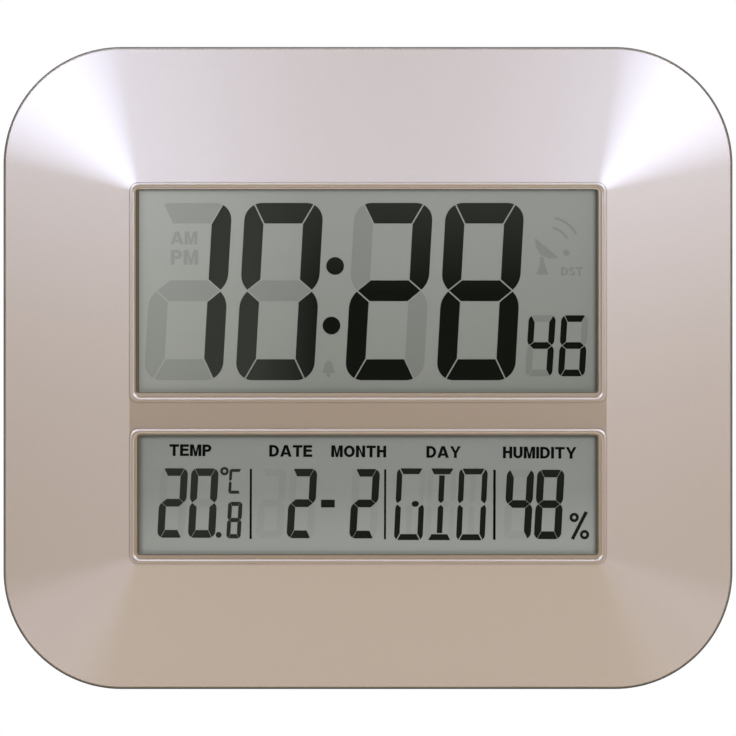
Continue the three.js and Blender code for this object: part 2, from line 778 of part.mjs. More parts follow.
function switchHousing() {
  const depth = switchTop + PLUNGER_SEAT + BUTTON_TRAVEL + BUTTON_CLEARANCE;
  return cut(
    block(SWITCH_SIZE, SWITCH_SIZE, 0, 0, switchTop, switchBase),
    post(PLUNGER_RADIUS + BUTTON_CLEARANCE, 0, 0, switchTop - CUT_OVER, depth),
  );
}

const buttonBody = pushButton();
const housingBody = switchHousing();
const plungerBody = post(PLUNGER_RADIUS, 0, 0, plungerTop, switchTop + PLUNGER_SEAT);
BUTTON_NAMES.forEach((name, index) => {
  piece(name + "_button", buttonBody, BUTTON_GREY, buttonX, 0, buttonZ(index));
  piece(name + "_switch_plunger", plungerBody, BUTTON_GREY, buttonX, 0, buttonZ(index));
  piece(name + "_switch_housing", housingBody, RESIN_BLACK, buttonX, 0, buttonZ(index));
});

// Battery cell with its nub towards +X, measured from its flat end
function batteryCell() {
  const end = CELL_LENGTH + NUB_LENGTH;
  const profile = [
    [0, 0],
    [CELL_RADIUS, 0],
    [CELL_RADIUS, CELL_LENGTH],
    [NUB_RADIUS, CELL_LENGTH],
    [NUB_RADIUS, end],
    [0, end],
  ];
  return solid(turned(profile).rotateZ(-Math.PI / 2));
}

// Points along the battery spring: a straight start, the turns and a straight end, all towards +X
function springPath() {
  const points = [];
  const steps = SPRING_STEPS * SPRING_TURNS;
  points.push(new THREE.Vector3(0, SPRING_RADIUS, 0));
  for (let i = 0; i <= steps; i++) {
    const angle = (i / SPRING_STEPS) * 2 * Math.PI;
    const along = SPRING_WIRE + (i / steps) * (springLength - 2 * SPRING_WIRE);
    const side = SPRING_RADIUS * Math.sin(angle);
    points.push(new THREE.Vector3(along, SPRING_RADIUS * Math.cos(angle), side));
  }
  points.push(new THREE.Vector3(springLength, SPRING_RADIUS, 0));
  return points;
}

// Tube round a path, with closed ends
function tube(path, radius, sides) {
  const positions = [];
  const triangles = [];
  path.forEach((point, i) => {
    const before = path[Math.max(i - 1, 0)];
    const after = path[Math.min(i + 1, path.length - 1)];
    const along = after.clone().sub(before).normalize();
    const out = new THREE.Vector3(0, point.y, point.z).normalize();
    const across = new THREE.Vector3().crossVectors(along, out).normalize();
    const up = new THREE.Vector3().crossVectors(across, along);
    for (let j = 0; j < sides; j++) {
      const angle = (j / sides) * 2 * Math.PI;
      const corner = point.clone();
      corner.addScaledVector(up, radius * Math.cos(angle));
      corner.addScaledVector(across, radius * Math.sin(angle));
      positions.push(corner.x, corner.y, corner.z);
    }
  });
  for (let i = 0; i + 1 < path.length; i++) {
    for (let j = 0; j < sides; j++) {
      const a = i * sides + j;
      const b = i * sides + ((j + 1) % sides);
      triangles.push(a, b, a + sides, b, b + sides, a + sides);
    }
  }
  const last = (path.length - 1) * sides;
  for (let j = 1; j + 1 < sides; j++) {
    triangles.push(0, j + 1, j);
    triangles.push(last, last + j, last + j + 1);
  }
  const geometry = new THREE.BufferGeometry();
  geometry.setAttribute("position", new THREE.Float32BufferAttribute(positions, 3));
  geometry.setIndex(triangles);
  return geometry;
}

// Least gap between a wound tube's neighbouring turns
function leastGap(path, radius, stepsApart) {
  let least = Infinity;
  path.forEach((point, i) => {
    for (const other of path.slice(i + stepsApart)) {
      least = Math.min(least, point.distanceTo(other) - 2 * radius);
    }
  });
  return least;
}

const springPoints = springPath();
const springGap = leastGap(springPoints, SPRING_WIRE / 2, SPRING_STEPS - 1);
console.log("least gap between the battery spring's turns: " + springGap.toFixed(2) + " mm");
const springBody = solid(tube(springPoints, SPRING_WIRE / 2, SPRING_SIDES));
const cellBody = batteryCell();
const cellStart = -contactX + CONTACT_THICKNESS / 2 + springLength + CONTACT_GAP;
const springStart = -contactX + CONTACT_THICKNESS / 2 + LAYER_GAP;
const BATTERY_ROWS = [
  { name: "upper", side: 1, z: BAY_Z + CELL_PITCH / 2 },
  { name: "lower", side: -1, z: BAY_Z - CELL_PITCH / 2 },
];
for (const { name, side, z } of BATTERY_ROWS) {
  const cell = piece(name + "_cell", cellBody, CELL_SHELL, side * cellStart, -cellDepth, z);
  const springX = side * springStart;
  const spring = piece(name + "_battery_spring", springBody, BRIGHT_METAL, springX, -cellDepth, z);
  for (const mesh of [cell, spring]) {
    mesh.rotation.z = side > 0 ? 0 : Math.PI;
  }
}

// Contact plates: one bridges the two cells, the other two lead to the board by their tabs
function contactPlate(height, x, z) {
  const reach = CONTACT_WIDTH / 2;
  return block(CONTACT_THICKNESS, height, x, z, cellDepth - reach, cellDepth + reach);
}

function tabbedPlate(z) {
  const tab = block(CONTACT_THICKNESS, CONTACT_TAB, contactX, z, cellDepth, leadDepth + LEAD_RADIUS);
  return joined(contactPlate(CONTACT_WIDTH, contactX, z), tab);
}

// Lead from a contact tab over the board to its solder pad
function batteryLead(z, sway) {
  const start = contactX + CONTACT_THICKNESS / 2 + CONTACT_GAP;
  const bends = [0, sway, -sway, 0];
  const points = bends.map(
    (bend, i) => new THREE.Vector3(start + i * LEAD_STEP, -leadDepth, z + bend),
  );
  const section = new THREE.Shape();
  section.absarc(0, 0, LEAD_RADIUS, 0, 2 * Math.PI);
  const geometry = new THREE.ExtrudeGeometry(section, {
    steps: LEAD_STEPS,
    curveSegments: LEAD_QUARTER,
    extrudePath: new THREE.CatmullRomCurve3(points),
  });
  return solid(geometry);
}

const [plusRow, minusRow] = BATTERY_ROWS;
piece(
  "bridge_contact_plate",
  contactPlate(CELL_PITCH + CONTACT_WIDTH, -contactX, BAY_Z),
  BRIGHT_METAL,
);
piece("plus_contact_plate", tabbedPlate(plusRow.z), BRIGHT_METAL);
piece("minus_contact_plate", tabbedPlate(minusRow.z), BRIGHT_METAL);
piece("plus_battery_lead", batteryLead(plusRow.z, LEAD_SWAY), RED_WIRE);
piece("minus_battery_lead", batteryLead(minusRow.z, -LEAD_SWAY), BLACK_WIRE);

// Battery door with a rounded upper edge that turns on two pins
function batteryDoor() {
  const radius = DOOR_THICKNESS / 2;
  const height = doorPivot - BAY_Z + doorHeight / 2;
  return joined(
    block(doorWidth, height, 0, doorPivot - height / 2, 0, DOOR_THICKNESS),
    bar(radius, doorWidth, 0, radius, doorPivot),
    bar(DOOR_PIN_RADIUS, doorWidth + 2 * DOOR_PIN_LENGTH, 0, radius, doorPivot),
  );
}
piece("battery_door", batteryDoor(), DARK_CASE);

// Table stand: a frame-shaped leg whose rounded upper edge turns on two pins
function tableStand() {
  const radius = STAND_THICKNESS / 2;
  const height = STAND_LENGTH - radius;
  const middle = standPivot - height / 2;
  const hole = outline(
    STAND_WIDTH - 2 * STAND_RAIL,
    height - 2 * STAND_RAIL,
    STAND_CORNER,
    0,
    middle,
  );
  const leg = joined(
    prism(outline(STAND_WIDTH, height, STAND_CORNER, 0, middle), 0, STAND_THICKNESS),
    block(STAND_WIDTH, STAND_CORNER, 0, standPivot - STAND_CORNER / 2, 0, STAND_THICKNESS),
    bar(radius, STAND_WIDTH, 0, radius, standPivot),
    bar(STAND_PIN_RADIUS, STAND_WIDTH + 2 * STAND_PIN_LENGTH, 0, radius, standPivot),
  );
  return cut(leg, prism(hole, -CUT_OVER, STAND_THICKNESS + CUT_OVER));
}
piece("table_stand", tableStand(), DARK_CASE);

// Screw with a cross socket, its head resting on the plane y = 0 and its shank towards -Y
function screw(length) {
  const profile = [
    [0, -length],
    [SCREW_RADIUS, -length],
    [SCREW_RADIUS, 0],
    [SCREW_HEAD_RADIUS, 0],
    [SCREW_HEAD_RADIUS, SCREW_HEAD_HEIGHT],
    [0, SCREW_HEAD_HEIGHT],
  ];
  const back = -SCREW_HEAD_HEIGHT - CUT_OVER;
  const front = SCREW_SOCKET - SCREW_HEAD_HEIGHT;
  const span = SCREW_HEAD_RADIUS;
  return cut(
    solid(turned(profile)),
    block(span, SCREW_SOCKET_WIDTH, 0, 0, back, front),
    block(SCREW_SOCKET_WIDTH, span, 0, 0, back, front),
  );
}

const caseScrew = screw(SCREW_LENGTH);
const boardScrew = screw(BOARD_SCREW_LENGTH);
CASE_SCREWS.forEach(({ x, z }, i) => {
  piece("case_screw_" + (i + 1), caseScrew, BRIGHT_METAL, x, LAYER_GAP - screwSeat, z);
});
BOARD_SCREWS.forEach(({ x, z }, i) => {
  piece("board_screw_" + (i + 1), boardScrew, BRIGHT_METAL, x, LAYER_GAP - boardBack, z);
});

// Antenna, buzzer and climate sensor
const coilBore = ROD_RADIUS + LAYER_GAP;
const coil = cut(
  bar(coilBore + COIL_THICKNESS, COIL_LENGTH, antennaX, ANTENNA_DEPTH, antennaZ),
  bar(coilBore, COIL_LENGTH + CUT_OVER, antennaX, ANTENNA_DEPTH, antennaZ),
);
const rod = bar(ROD_RADIUS, ROD_LENGTH, antennaX, ANTENNA_DEPTH, antennaZ);
piece("antenna_rod", rod, FERRITE);
piece("antenna_coil", coil, COPPER);

const buzzerBack = WALL + LAYER_GAP;
const buzzer = post(BUZZER_RADIUS, BUZZER_X, BUZZER_Z, buzzerBack, buzzerBack + BUZZER_HEIGHT);
piece("buzzer", buzzer, BRIGHT_METAL);

const sensorBack = WALL + SENSOR_STANDOFF + LAYER_GAP;
const sensorBoard = block(
  SENSOR_WIDTH,
  SENSOR_HEIGHT,
  SENSOR_X,
  SENSOR_Z,
  sensorBack,
  sensorBack + SENSOR_BOARD,
);
const chipFront = sensorBack - LAYER_GAP;
const sensorChip = block(
  SENSOR_CHIP,
  SENSOR_CHIP,
  SENSOR_X,
  SENSOR_Z,
  chipFront - SENSOR_CHIP_HEIGHT,
  chipFront,
);
piece("sensor_board", sensorBoard, BOARD_GREEN);
piece("climate_sensor", sensorChip, WHITE_PLASTIC);

const part = new THREE.Group();
part.add(clock);
export default part;
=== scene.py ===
import math
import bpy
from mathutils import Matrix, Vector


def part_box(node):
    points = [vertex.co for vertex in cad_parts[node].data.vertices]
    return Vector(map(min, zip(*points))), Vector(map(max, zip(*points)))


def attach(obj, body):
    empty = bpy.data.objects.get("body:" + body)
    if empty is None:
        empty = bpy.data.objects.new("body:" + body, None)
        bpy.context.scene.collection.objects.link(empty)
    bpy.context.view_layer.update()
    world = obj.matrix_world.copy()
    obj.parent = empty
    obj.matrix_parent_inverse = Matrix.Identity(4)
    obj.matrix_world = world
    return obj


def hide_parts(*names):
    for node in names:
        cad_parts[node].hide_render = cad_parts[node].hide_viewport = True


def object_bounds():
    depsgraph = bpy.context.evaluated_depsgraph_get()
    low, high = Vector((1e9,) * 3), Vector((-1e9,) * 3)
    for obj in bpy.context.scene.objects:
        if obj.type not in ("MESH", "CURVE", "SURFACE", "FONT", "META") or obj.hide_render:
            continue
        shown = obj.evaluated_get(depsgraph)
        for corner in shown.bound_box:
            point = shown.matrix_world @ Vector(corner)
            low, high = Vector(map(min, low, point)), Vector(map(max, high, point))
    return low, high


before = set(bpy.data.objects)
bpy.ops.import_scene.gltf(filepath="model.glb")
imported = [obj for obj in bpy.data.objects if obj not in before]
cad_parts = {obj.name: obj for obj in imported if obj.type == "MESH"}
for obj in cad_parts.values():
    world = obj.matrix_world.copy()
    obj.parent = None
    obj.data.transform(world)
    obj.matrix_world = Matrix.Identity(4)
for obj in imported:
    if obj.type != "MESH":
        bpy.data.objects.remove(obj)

from types import SimpleNamespace

import bmesh
import bpy
from mathutils import Vector

cad_low, cad_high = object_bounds()

# Millimetres from the case's centre: x to the right, depth in front of the wall, z up
MM = 0.001
cover_low, cover_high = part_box("rear_cover")
CASE_Z = (cover_low.z + cover_high.z) / 2 / MM


def node_box(node):
    """A CAD node's sides, size and middle, in millimetres from the case's centre."""
    low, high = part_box(node)
    box = SimpleNamespace(left=low.x / MM, right=high.x / MM, back=-high.y / MM, front=-low.y / MM)
    box.bottom = low.z / MM - CASE_Z
    box.top = high.z / MM - CASE_Z
    box.width = box.right - box.left
    box.height = box.top - box.bottom
    box.x = (box.left + box.right) / 2
    box.z = (box.bottom + box.top) / 2
    box.depth = (box.back + box.front) / 2
    return box


def bezel_window(name):
    """The opening in the bezel over one display, which its polariser runs under on all sides."""
    film = node_box(name + "_display_front_polariser")
    width = film.width - 2 * FILM_OVERLAP
    height = film.height - 2 * FILM_OVERLAP
    return SimpleNamespace(width=width, height=height, z=film.z, face=film.front)


# Case sizes that the frame's boxes don't give
FILM_OVERLAP = 1.4
CASE_RADIUS = 42.0
RIM_PROUD = 0.6
RIM_BAND = 2.0
RIM_FRONT = 13.95
WALL = 2.2
PARTING = 14.0
BEZEL_EDGE = 22.0
PLATEAU = 29.0
BEAD_HEIGHT = 0.8
FRAME_BAND = 3.3
PLATEAU_MARGIN = 0.1
WINDOW_RADIUS = 1.4
BACK_INSET = 7.0
BACK_ROUND = 8.0
SEAM = 0.05
FILM_GAP = 0.01
CUT_OVER = 1.0

# Facets and shading of round shapes
CASE_STEPS = 32
CORNER_STEPS = 10
ROUND_STEPS = 40
FILLET_STEPS = 14
SMOOTH_ANGLE = math.radians(7.5)
FACE_WEIGHT = 100

cover = node_box("rear_cover")
CASE_WIDTH = cover.width
CASE_HEIGHT = cover.height
UPPER = bezel_window("upper")
LOWER = bezel_window("lower")
WINDOWS = (UPPER, LOWER)
CASE_SCREWS = [f"case_screw_{number}" for number in range(1, 7)]
BOARD_SCREWS = [f"board_screw_{number}" for number in range(1, 5)]


def arc(start, end, steps):
    """Evenly spaced angles in radians from start to end, given in degrees."""
    return [math.radians(start + (end - start) * i / steps) for i in range(steps + 1)]


def turns(steps):
    """Evenly spaced angles in radians of one full turn."""
    return [2 * math.pi * i / steps for i in range(steps)]


def outline(width, height, radius, x=0.0, z=0.0, steps=CORNER_STEPS):
    """Rounded rectangle round (x, z), counter-clockwise as seen from the front."""
    points = []
    for quarter, (side_x, side_z) in enumerate(((1, 1), (-1, 1), (-1, -1), (1, -1))):
        centre_x = x + side_x * (width / 2 - radius)
        centre_z = z + side_z * (height / 2 - radius)
        for angle in arc(90 * quarter, 90 * quarter + 90, steps):
            points.append((centre_x + radius * math.cos(angle), centre_z + radius * math.sin(angle)))
    return points


def grown(width, height, radius, x, z):
    """A rounded rectangle as a function of how far it is grown on all sides."""
    return lambda grow: outline(width + 2 * grow, height + 2 * grow, radius + grow, x, z)


def disc(radius, x=0.0, z=0.0):
    """Circle round (x, z)."""
    return [(x + radius * math.cos(turn), z + radius * math.sin(turn)) for turn in turns(ROUND_STEPS)]


def case_outline(offset):
    """The case's outline, grown by an offset."""
    width = CASE_WIDTH + 2 * offset
    return outline(width, CASE_HEIGHT + 2 * offset, CASE_RADIUS + offset, steps=CASE_STEPS)


def quarter_round(radius):
    """A round edge as (inset, depth) pairs, from the face that it starts on to the side."""
    angles = arc(0, 90, FILLET_STEPS // 2)
    return [(radius * (1 - math.sin(angle)), radius * (1 - math.cos(angle))) for angle in angles]


def linked(name, data):
    """A new object in the scene."""
    made = bpy.data.objects.new(name, data)
    bpy.context.scene.collection.objects.link(made)
    return made


def new_object(vertices, faces):
    """Closed mesh from (x, depth, z) corners, with its faces pointing out, in the row frame."""
    mesh = bpy.data.meshes.new("solid")
    mesh.from_pydata([(x * MM, -depth * MM, (z + CASE_Z) * MM) for x, depth, z in vertices], [], faces)
    work = bmesh.new()
    work.from_mesh(mesh)
    bmesh.ops.recalc_face_normals(work, faces=work.faces)
    work.to_mesh(mesh)
    work.free()
    return linked("solid", mesh)


def strip_faces(rings, count, closed=False):
    """Quads between neighbouring rings of count corners each."""
    faces = []
    for ring in range(rings if closed else rings - 1):
        following = (ring + 1) % rings
        for i in range(count):
            j = (i + 1) % count
            near = (ring * count + i, ring * count + j)
            faces.append((*near, following * count + j, following * count + i))
    return faces


def capped(vertices, count):
    """Solid through rings of count corners each, closed at both ends."""
    total = len(vertices)
    faces = strip_faces(total // count, count)
    faces += [tuple(range(count)), tuple(range(total - count, total))]
    return new_object(vertices, faces)


def placed(sections):
    """The (x, depth, z) corners of (outline, depth) sections."""
    return [(x, depth, z) for points, depth in sections for x, z in points]


def loft(*sections):
    """Solid through (outline, depth) sections, closed at both ends."""
    return capped(placed(sections), len(sections[0][0]))


def stacked(make_outline, profile):
    """The (outline, depth) sections of an outline that grows along (growth, depth) steps."""
    return [(make_outline(growth), depth) for growth, depth in profile]


def shaped(make_outline, *profile):
    """Solid over an outline that grows along (growth, depth) steps."""
    return loft(*stacked(make_outline, profile))


def hoop(sections):
    """Solid ring through (outline, depth) sections, the last joined to the first."""
    return new_object(placed(sections), strip_faces(len(sections), len(sections[0][0]), closed=True))


def prism(points, back, front):
    """Straight solid over an outline."""
    return loft((points, back), (points, front))


def post(radius, at, back, front):
    """Round solid over the middle of a box."""
    return prism(disc(radius, at.x, at.z), back, front)


def slab(left, right, bottom, top):
    """Square-cornered outline."""
    return [(left, bottom), (right, bottom), (right, top), (left, top)]


def block(width, height, x, z, back, front):
    """Square-edged solid round (x, z)."""
    return prism(slab(x - width / 2, x + width / 2, z - height / 2, z + height / 2), back, front)


def rod(profile, x, depth, z):
    """Solid of revolution about the X direction through (x, depth, z), from (along, radius) points."""
    vertices = []
    for along, radius in profile:
        for turn in turns(ROUND_STEPS):
            vertices.append((x + along, depth + radius * math.cos(turn), z + radius * math.sin(turn)))
    return capped(vertices, ROUND_STEPS)


def bar(radius, length, x, depth, z):
    """Round bar along X with its middle at (x, depth, z)."""
    return rod([(-length / 2, radius), (length / 2, radius)], x, depth, z)


def chamfered(make_outline, back, front, edge):
    """Cutter through the face at depth back, with a chamfer of the given edge round its mouth."""
    mouth = [(edge, back - CUT_OVER), (edge, back)]
    return shaped(make_outline, *mouth, (0, back + edge), (0, front))


def boolean(body, operation, tool):
    """Lets a tool join, cut or clip a body."""
    modifier = body.modifiers.new("carve", "BOOLEAN")
    modifier.solver = "MANIFOLD"
    modifier.operation = operation
    modifier.object = tool


def baked(body):
    """Replaces a body's mesh by what its modifiers make of it."""
    graph = bpy.context.evaluated_depsgraph_get()
    mesh = bpy.data.meshes.new_from_object(body.evaluated_get(graph))
    body.modifiers.clear()
    body.data = mesh
    return body


def carved(body, added=(), removed=()):
    """Joins solids to a body, then cuts others out of it."""
    for tool in added:
        boolean(body, "UNION", tool)
    for tool in removed:
        boolean(body, "DIFFERENCE", tool)
    baked(body)
    for tool in (*added, *removed):
        bpy.data.objects.remove(tool)
    return body


def clipped(tool, envelope):
    """The part of a tool that lies inside an envelope."""
    boolean(tool, "INTERSECT", envelope)
    return baked(tool)


def joined(pieces):
    """One object out of several that don't touch each other."""
    work = bmesh.new()
    for one in pieces:
        work.from_mesh(one.data)
        bpy.data.objects.remove(one)
    mesh = bpy.data.meshes.new("joined")
    work.to_mesh(mesh)
    work.free()
    return linked("joined", mesh)


def smooth(body, angle=SMOOTH_ANGLE):
    """Smooth shading that keeps flat faces flat and creases sharp."""
    body.data.shade_smooth()
    body.data.set_sharp_from_angle(angle=angle)
    modifier = body.modifiers.new("flat_faces", "WEIGHTED_NORMAL")
    modifier.keep_sharp = True
    modifier.weight = FACE_WEIGHT
    return body


def dressed(body, name, finish, carrier="case", instead_of=()):
    """Names a finished piece, gives it its material, and lets it ride on a CAD body."""
    body.name = name
    body.data.name = name
    body.data.materials.clear()
    body.data.materials.append(finish)
    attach(body, carrier)
    if instead_of:
        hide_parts(*instead_of)
    return body


# Materials: the screen's tone curve, sockets and rate of the nodes, and how much each finish varies
LINEAR_END = 0.04045
LINEAR_SLOPE = 12.92
CURVE_OFFSET = 0.055
CURVE_POWER = 2.4
MIX_SHARE = 0
MIX_FIRST = 6
MIX_SECOND = 7
MIX_RESULT = 2
WAVE_RATE = 20
PAINT_CLOUD = 26.0
PAINT_CLOUD_SHARE = 0.35
PAINT_SPREAD = 0.02
PAINT_RIPPLE = 0.9
PAINT_RIPPLE_DEPTH = 0.0004
PLASTIC_CLOUD = 18.0
PLASTIC_CLOUD_SHARE = 0.12
PLASTIC_SPREAD = 0.06
PLASTIC_RELIEF = 0.6
DISPLAY_CLOUD = 5.0
DISPLAY_CLOUD_SHARE = 0.06
DISPLAY_SPREAD = 0.02
METAL_DULL = 0.82
METAL_SMOOTHER = 0.07
METAL_ROUGHER = 0.1
METAL_RELIEF = 0.5


def rgb(red, green, blue):
    """A screen colour, 0 to 255, as linear light."""
    shares = [value / 255 for value in (red, green, blue)]
    linear = []
    for share in shares:
        curved = ((share + CURVE_OFFSET) / (1 + CURVE_OFFSET)) ** CURVE_POWER
        linear.append(share / LINEAR_SLOPE if share <= LINEAR_END else curved)
    return (*linear, 1.0)


class Finish:
    """One material: a Principled shader with the nodes that vary it over the surface."""

    def __init__(self, name, colour, roughness, values=None):
        self.material = bpy.data.materials.new(name)
        self.material.use_nodes = True
        self.tree = self.material.node_tree
        self.shader = self.tree.nodes["Principled BSDF"]
        self.shader.inputs["Base Color"].default_value = colour
        self.shader.inputs["Roughness"].default_value = roughness
        for socket, value in (values or {}).items():
            self.shader.inputs[socket].default_value = value
        self.place = self.add("ShaderNodeTexCoord").outputs["Object"]

    def add(self, kind, **settings):
        node = self.tree.nodes.new(kind)
        for setting, value in settings.items():
            setattr(node, setting, value)
        return node

    def feed(self, node, socket, value):
        """Links an output into a node's input, or sets a plain value there."""
        if isinstance(value, bpy.types.NodeSocket):
            self.tree.links.new(value, node.inputs[socket])
        else:
            node.inputs[socket].default_value = value

    def noise(self, grain, detail=2.0, stretch=(1, 1, 1)):
        """Cloudy pattern whose spots are about grain millimetres across."""
        mapping = self.add("ShaderNodeMapping")
        self.feed(mapping, "Vector", self.place)
        self.feed(mapping, "Scale", [1 / (grain * MM * share) for share in stretch])
        node = self.add("ShaderNodeTexNoise")
        self.feed(node, "Vector", mapping.outputs["Vector"])
        self.feed(node, "Scale", 1.0)
        self.feed(node, "Detail", detail)
        return node.outputs["Fac"]

    def stripes(self, pitch, direction="X"):
        """Bands across one direction, one for each pitch in millimetres."""
        node = self.add("ShaderNodeTexWave", wave_type="BANDS", bands_direction=direction)
        self.feed(node, "Vector", self.place)
        self.feed(node, "Scale", 2 * math.pi / (WAVE_RATE * pitch * MM))
        return node.outputs["Fac"]

    def along(self, axis, start, end):
        """Rises from 0 to 1 between two places on an axis, in millimetres in the row frame."""
        split = self.add("ShaderNodeSeparateXYZ")
        self.feed(split, "Vector", self.place)
        return self.spread(split.outputs[axis], 0.0, 1.0, start * MM, end * MM)

    def spread(self, value, low, high, start=0.3, end=0.7):
        """A pattern's values from start to end, spread from low to high."""
        node = self.add("ShaderNodeMapRange")
        self.feed(node, "Value", value)
        for socket, number in zip(("From Min", "From Max", "To Min", "To Max"), (start, end, low, high)):
            self.feed(node, socket, number)
        return node.outputs["Result"]

    def mixed(self, share, first, second, blend="MIX"):
        """A colour between two colours."""
        node = self.add("ShaderNodeMix", data_type="RGBA", blend_type=blend)
        self.feed(node, MIX_SHARE, share)
        self.feed(node, MIX_FIRST, first)
        self.feed(node, MIX_SECOND, second)
        return node.outputs[MIX_RESULT]

    def blended(self, pattern, first, second, most=1.0):
        """A colour that a pattern takes from the first towards the second, at most by a share."""
        return self.mixed(self.spread(pattern, 0, most), first, second)

    def colour(self, value):
        self.feed(self.shader, "Base Color", value)
        return self

    def roughness(self, pattern, low, high):
        self.feed(self.shader, "Roughness", self.spread(pattern, low, high))
        return self

    def relief(self, pattern, depth, strength=1.0):
        """Fine unevenness of the surface, depth millimetres high."""
        node = self.add("ShaderNodeBump")
        self.feed(node, "Height", pattern)
        self.feed(node, "Distance", depth * MM)
        self.feed(node, "Strength", strength)
        self.feed(self.shader, "Normal", node.outputs["Normal"])
        return self


def champagne_paint():
    """Satin pearl paint: warm ground, fine flakes and a sheen a little cooler than the light."""
    sheen = {"Specular IOR Level": PAINT_SHEEN, "Specular Tint": PAINT_SHEEN_TINT}
    finish = Finish("champagne_paint", PAINT, PAINT_ROUGHNESS, sheen)
    flakes = finish.noise(FLAKE, detail=3)
    clouds = finish.noise(PAINT_CLOUD, detail=1)
    paint = finish.blended(flakes, PAINT_DARK, PAINT_LIGHT)
    finish.colour(finish.blended(clouds, paint, PAINT, PAINT_CLOUD_SHARE))
    finish.roughness(flakes, PAINT_ROUGHNESS - PAINT_SPREAD, PAINT_ROUGHNESS + PAINT_SPREAD)
    return finish.relief(finish.noise(PAINT_RIPPLE, detail=2), PAINT_RIPPLE_DEPTH).material


def moulded(name, dark, light, roughness, grain=0.45, depth=0.018, sheen=0.5):
    """Plastic with a spark-eroded grain."""
    finish = Finish(name, light, roughness, {"Specular IOR Level": sheen})
    spots = finish.noise(grain, detail=3)
    clouds = finish.noise(PLASTIC_CLOUD, detail=2)
    grained = finish.blended(spots, dark, light)
    finish.colour(finish.blended(clouds, grained, dark, PLASTIC_CLOUD_SHARE))
    finish.roughness(clouds, roughness - PLASTIC_SPREAD, roughness + PLASTIC_SPREAD)
    return finish.relief(spots, depth, PLASTIC_RELIEF).material


def grey(level):
    return (level, level, level, 1.0)


def clouded(finish, tone, other):
    """Colours a display's finish by a tone with faint clouds of another, and returns the clouds."""
    clouds = finish.noise(DISPLAY_CLOUD, detail=3)
    finish.colour(finish.blended(clouds, tone, other, DISPLAY_CLOUD_SHARE))
    return clouds


def display_tone(name, light, window, share=1.0):
    """A display's flat tone with painted light: a fall towards its foot, its own level at either side,
    and painted shade along its edges.
    """
    finish = Finish(name, light.top, DISPLAY_ROUGHNESS, {"Specular IOR Level": DISPLAY_SHEEN})
    half = window.width / 2
    foot = CASE_Z + window.z - window.height / 2
    head = foot + window.height
    # Painted light: the tone falls towards the foot, and each side is lit to its own level
    fade = finish.along("Z", foot, foot + light.reach * window.height)
    tone = finish.mixed(fade, light.bottom, light.top)
    for edge, level in ((-half, light.left), (half, light.right)):
        ramp = finish.along("X", math.copysign(SIDE_START, edge), edge)
        tone = finish.mixed(ramp, tone, finish.mixed(1.0, tone, grey(level), "MULTIPLY"))
    tone = finish.mixed(1.0, tone, grey(share), "MULTIPLY")
    # Painted shade along each edge, where the frame shades the recessed film
    edges = (("X", -half, 1), ("X", half, -1), ("Z", foot, 1), ("Z", head, -1))
    for (axis, edge, inward), depth in zip(edges, light.shades):
        ramp = finish.along(axis, edge + inward * SHADE_REACH, edge)
        tone = finish.mixed(finish.spread(ramp, 0, depth, 0, 1), tone, EDGE_SHADE_TONE)
    clouds = clouded(finish, tone, light.bottom)
    smoothest = DISPLAY_ROUGHNESS - DISPLAY_SPREAD
    return finish.roughness(clouds, smoothest, DISPLAY_ROUGHNESS + DISPLAY_SPREAD).material


def ink_tone(name, ink, window):
    """Lit segments: dark, and paler towards the head and the left, where the light comes from."""
    finish = Finish(name, ink.dark, DISPLAY_ROUGHNESS, {"Specular IOR Level": 0.0})
    middle = CASE_Z + window.z
    tone = finish.mixed(finish.along("Z", middle, middle + window.height / 2), ink.dark, ink.head)
    tone = finish.mixed(finish.along("X", INK_SIDE_START, INK_SIDE_END), tone, ink.side)
    clouded(finish, tone, ink.dark)
    return finish.material


def metal(name, colour, roughness, grain=0.25, stretch=(1, 1, 1), depth=0.002):
    """Plated or drawn metal with fine streaks."""
    finish = Finish(name, colour, roughness, {"Metallic": 1.0})
    streaks = finish.noise(grain, detail=3, stretch=stretch)
    dull = tuple(METAL_DULL * share for share in colour[:3])
    finish.colour(finish.blended(streaks, (*dull, 1.0), colour))
    finish.roughness(streaks, roughness - METAL_SMOOTHER, roughness + METAL_ROUGHER)
    return finish.relief(streaks, depth, METAL_RELIEF).material


def striped(name, first, second, pitch, roughness, depth, values=None):
    """Layers or turns side by side along X."""
    finish = Finish(name, first, roughness, values)
    bands = finish.stripes(pitch)
    finish.colour(finish.blended(bands, first, second))
    return finish.relief(bands, depth).material


# Front bezel: sloping flat and conical faces that rise to the raised centre with its two frames
EDGE_ROUND = 0.35
FACE_SLOPE = 8.7
SEAM_CHAMFER = 0.25
EDGE_GAP = 0.15
RIDGE_ROUND = 0.2
RIDGE_OUT = math.radians(14)
RIDGE_IN = math.radians(18)
RIDGE_END = 1.7
RIDGE_STEPS = 7
LIP_START = 1.35
LIP_EASE = 0.06
CREST = PLATEAU + BEAD_HEIGHT
LIP_DROP = 0.33
LIP_FRONT = CREST - LIP_DROP
HEAD_RISE = 0.9
FRAME_SUNK = 0.2
# Dark strips of painted shade in the gap round each window, as reaches to the left, right, top and bottom
UPPER_SHADE_STRIP = (1.2, 0.55, 0.95, 0.1)
LOWER_SHADE_STRIP = (0.7, 0.55, 1.35, 0.2)
SHADE_STRIP_PROUD = 0.03
SHADE_STRIP_FRONT = LIP_FRONT + SHADE_STRIP_PROUD
SHADE_STRIP_INSIDE = 0.1
SHADE_STRIP_RADIUS = 0.9
POCKET_MARGIN = 2.7
POCKET_DEPTH = 2.6
BOSS_RADIUS = 3.2
PILOT_RADIUS = 1.6
TOWER_TOP = 12.0
HOLDER_FRONT = 24.6


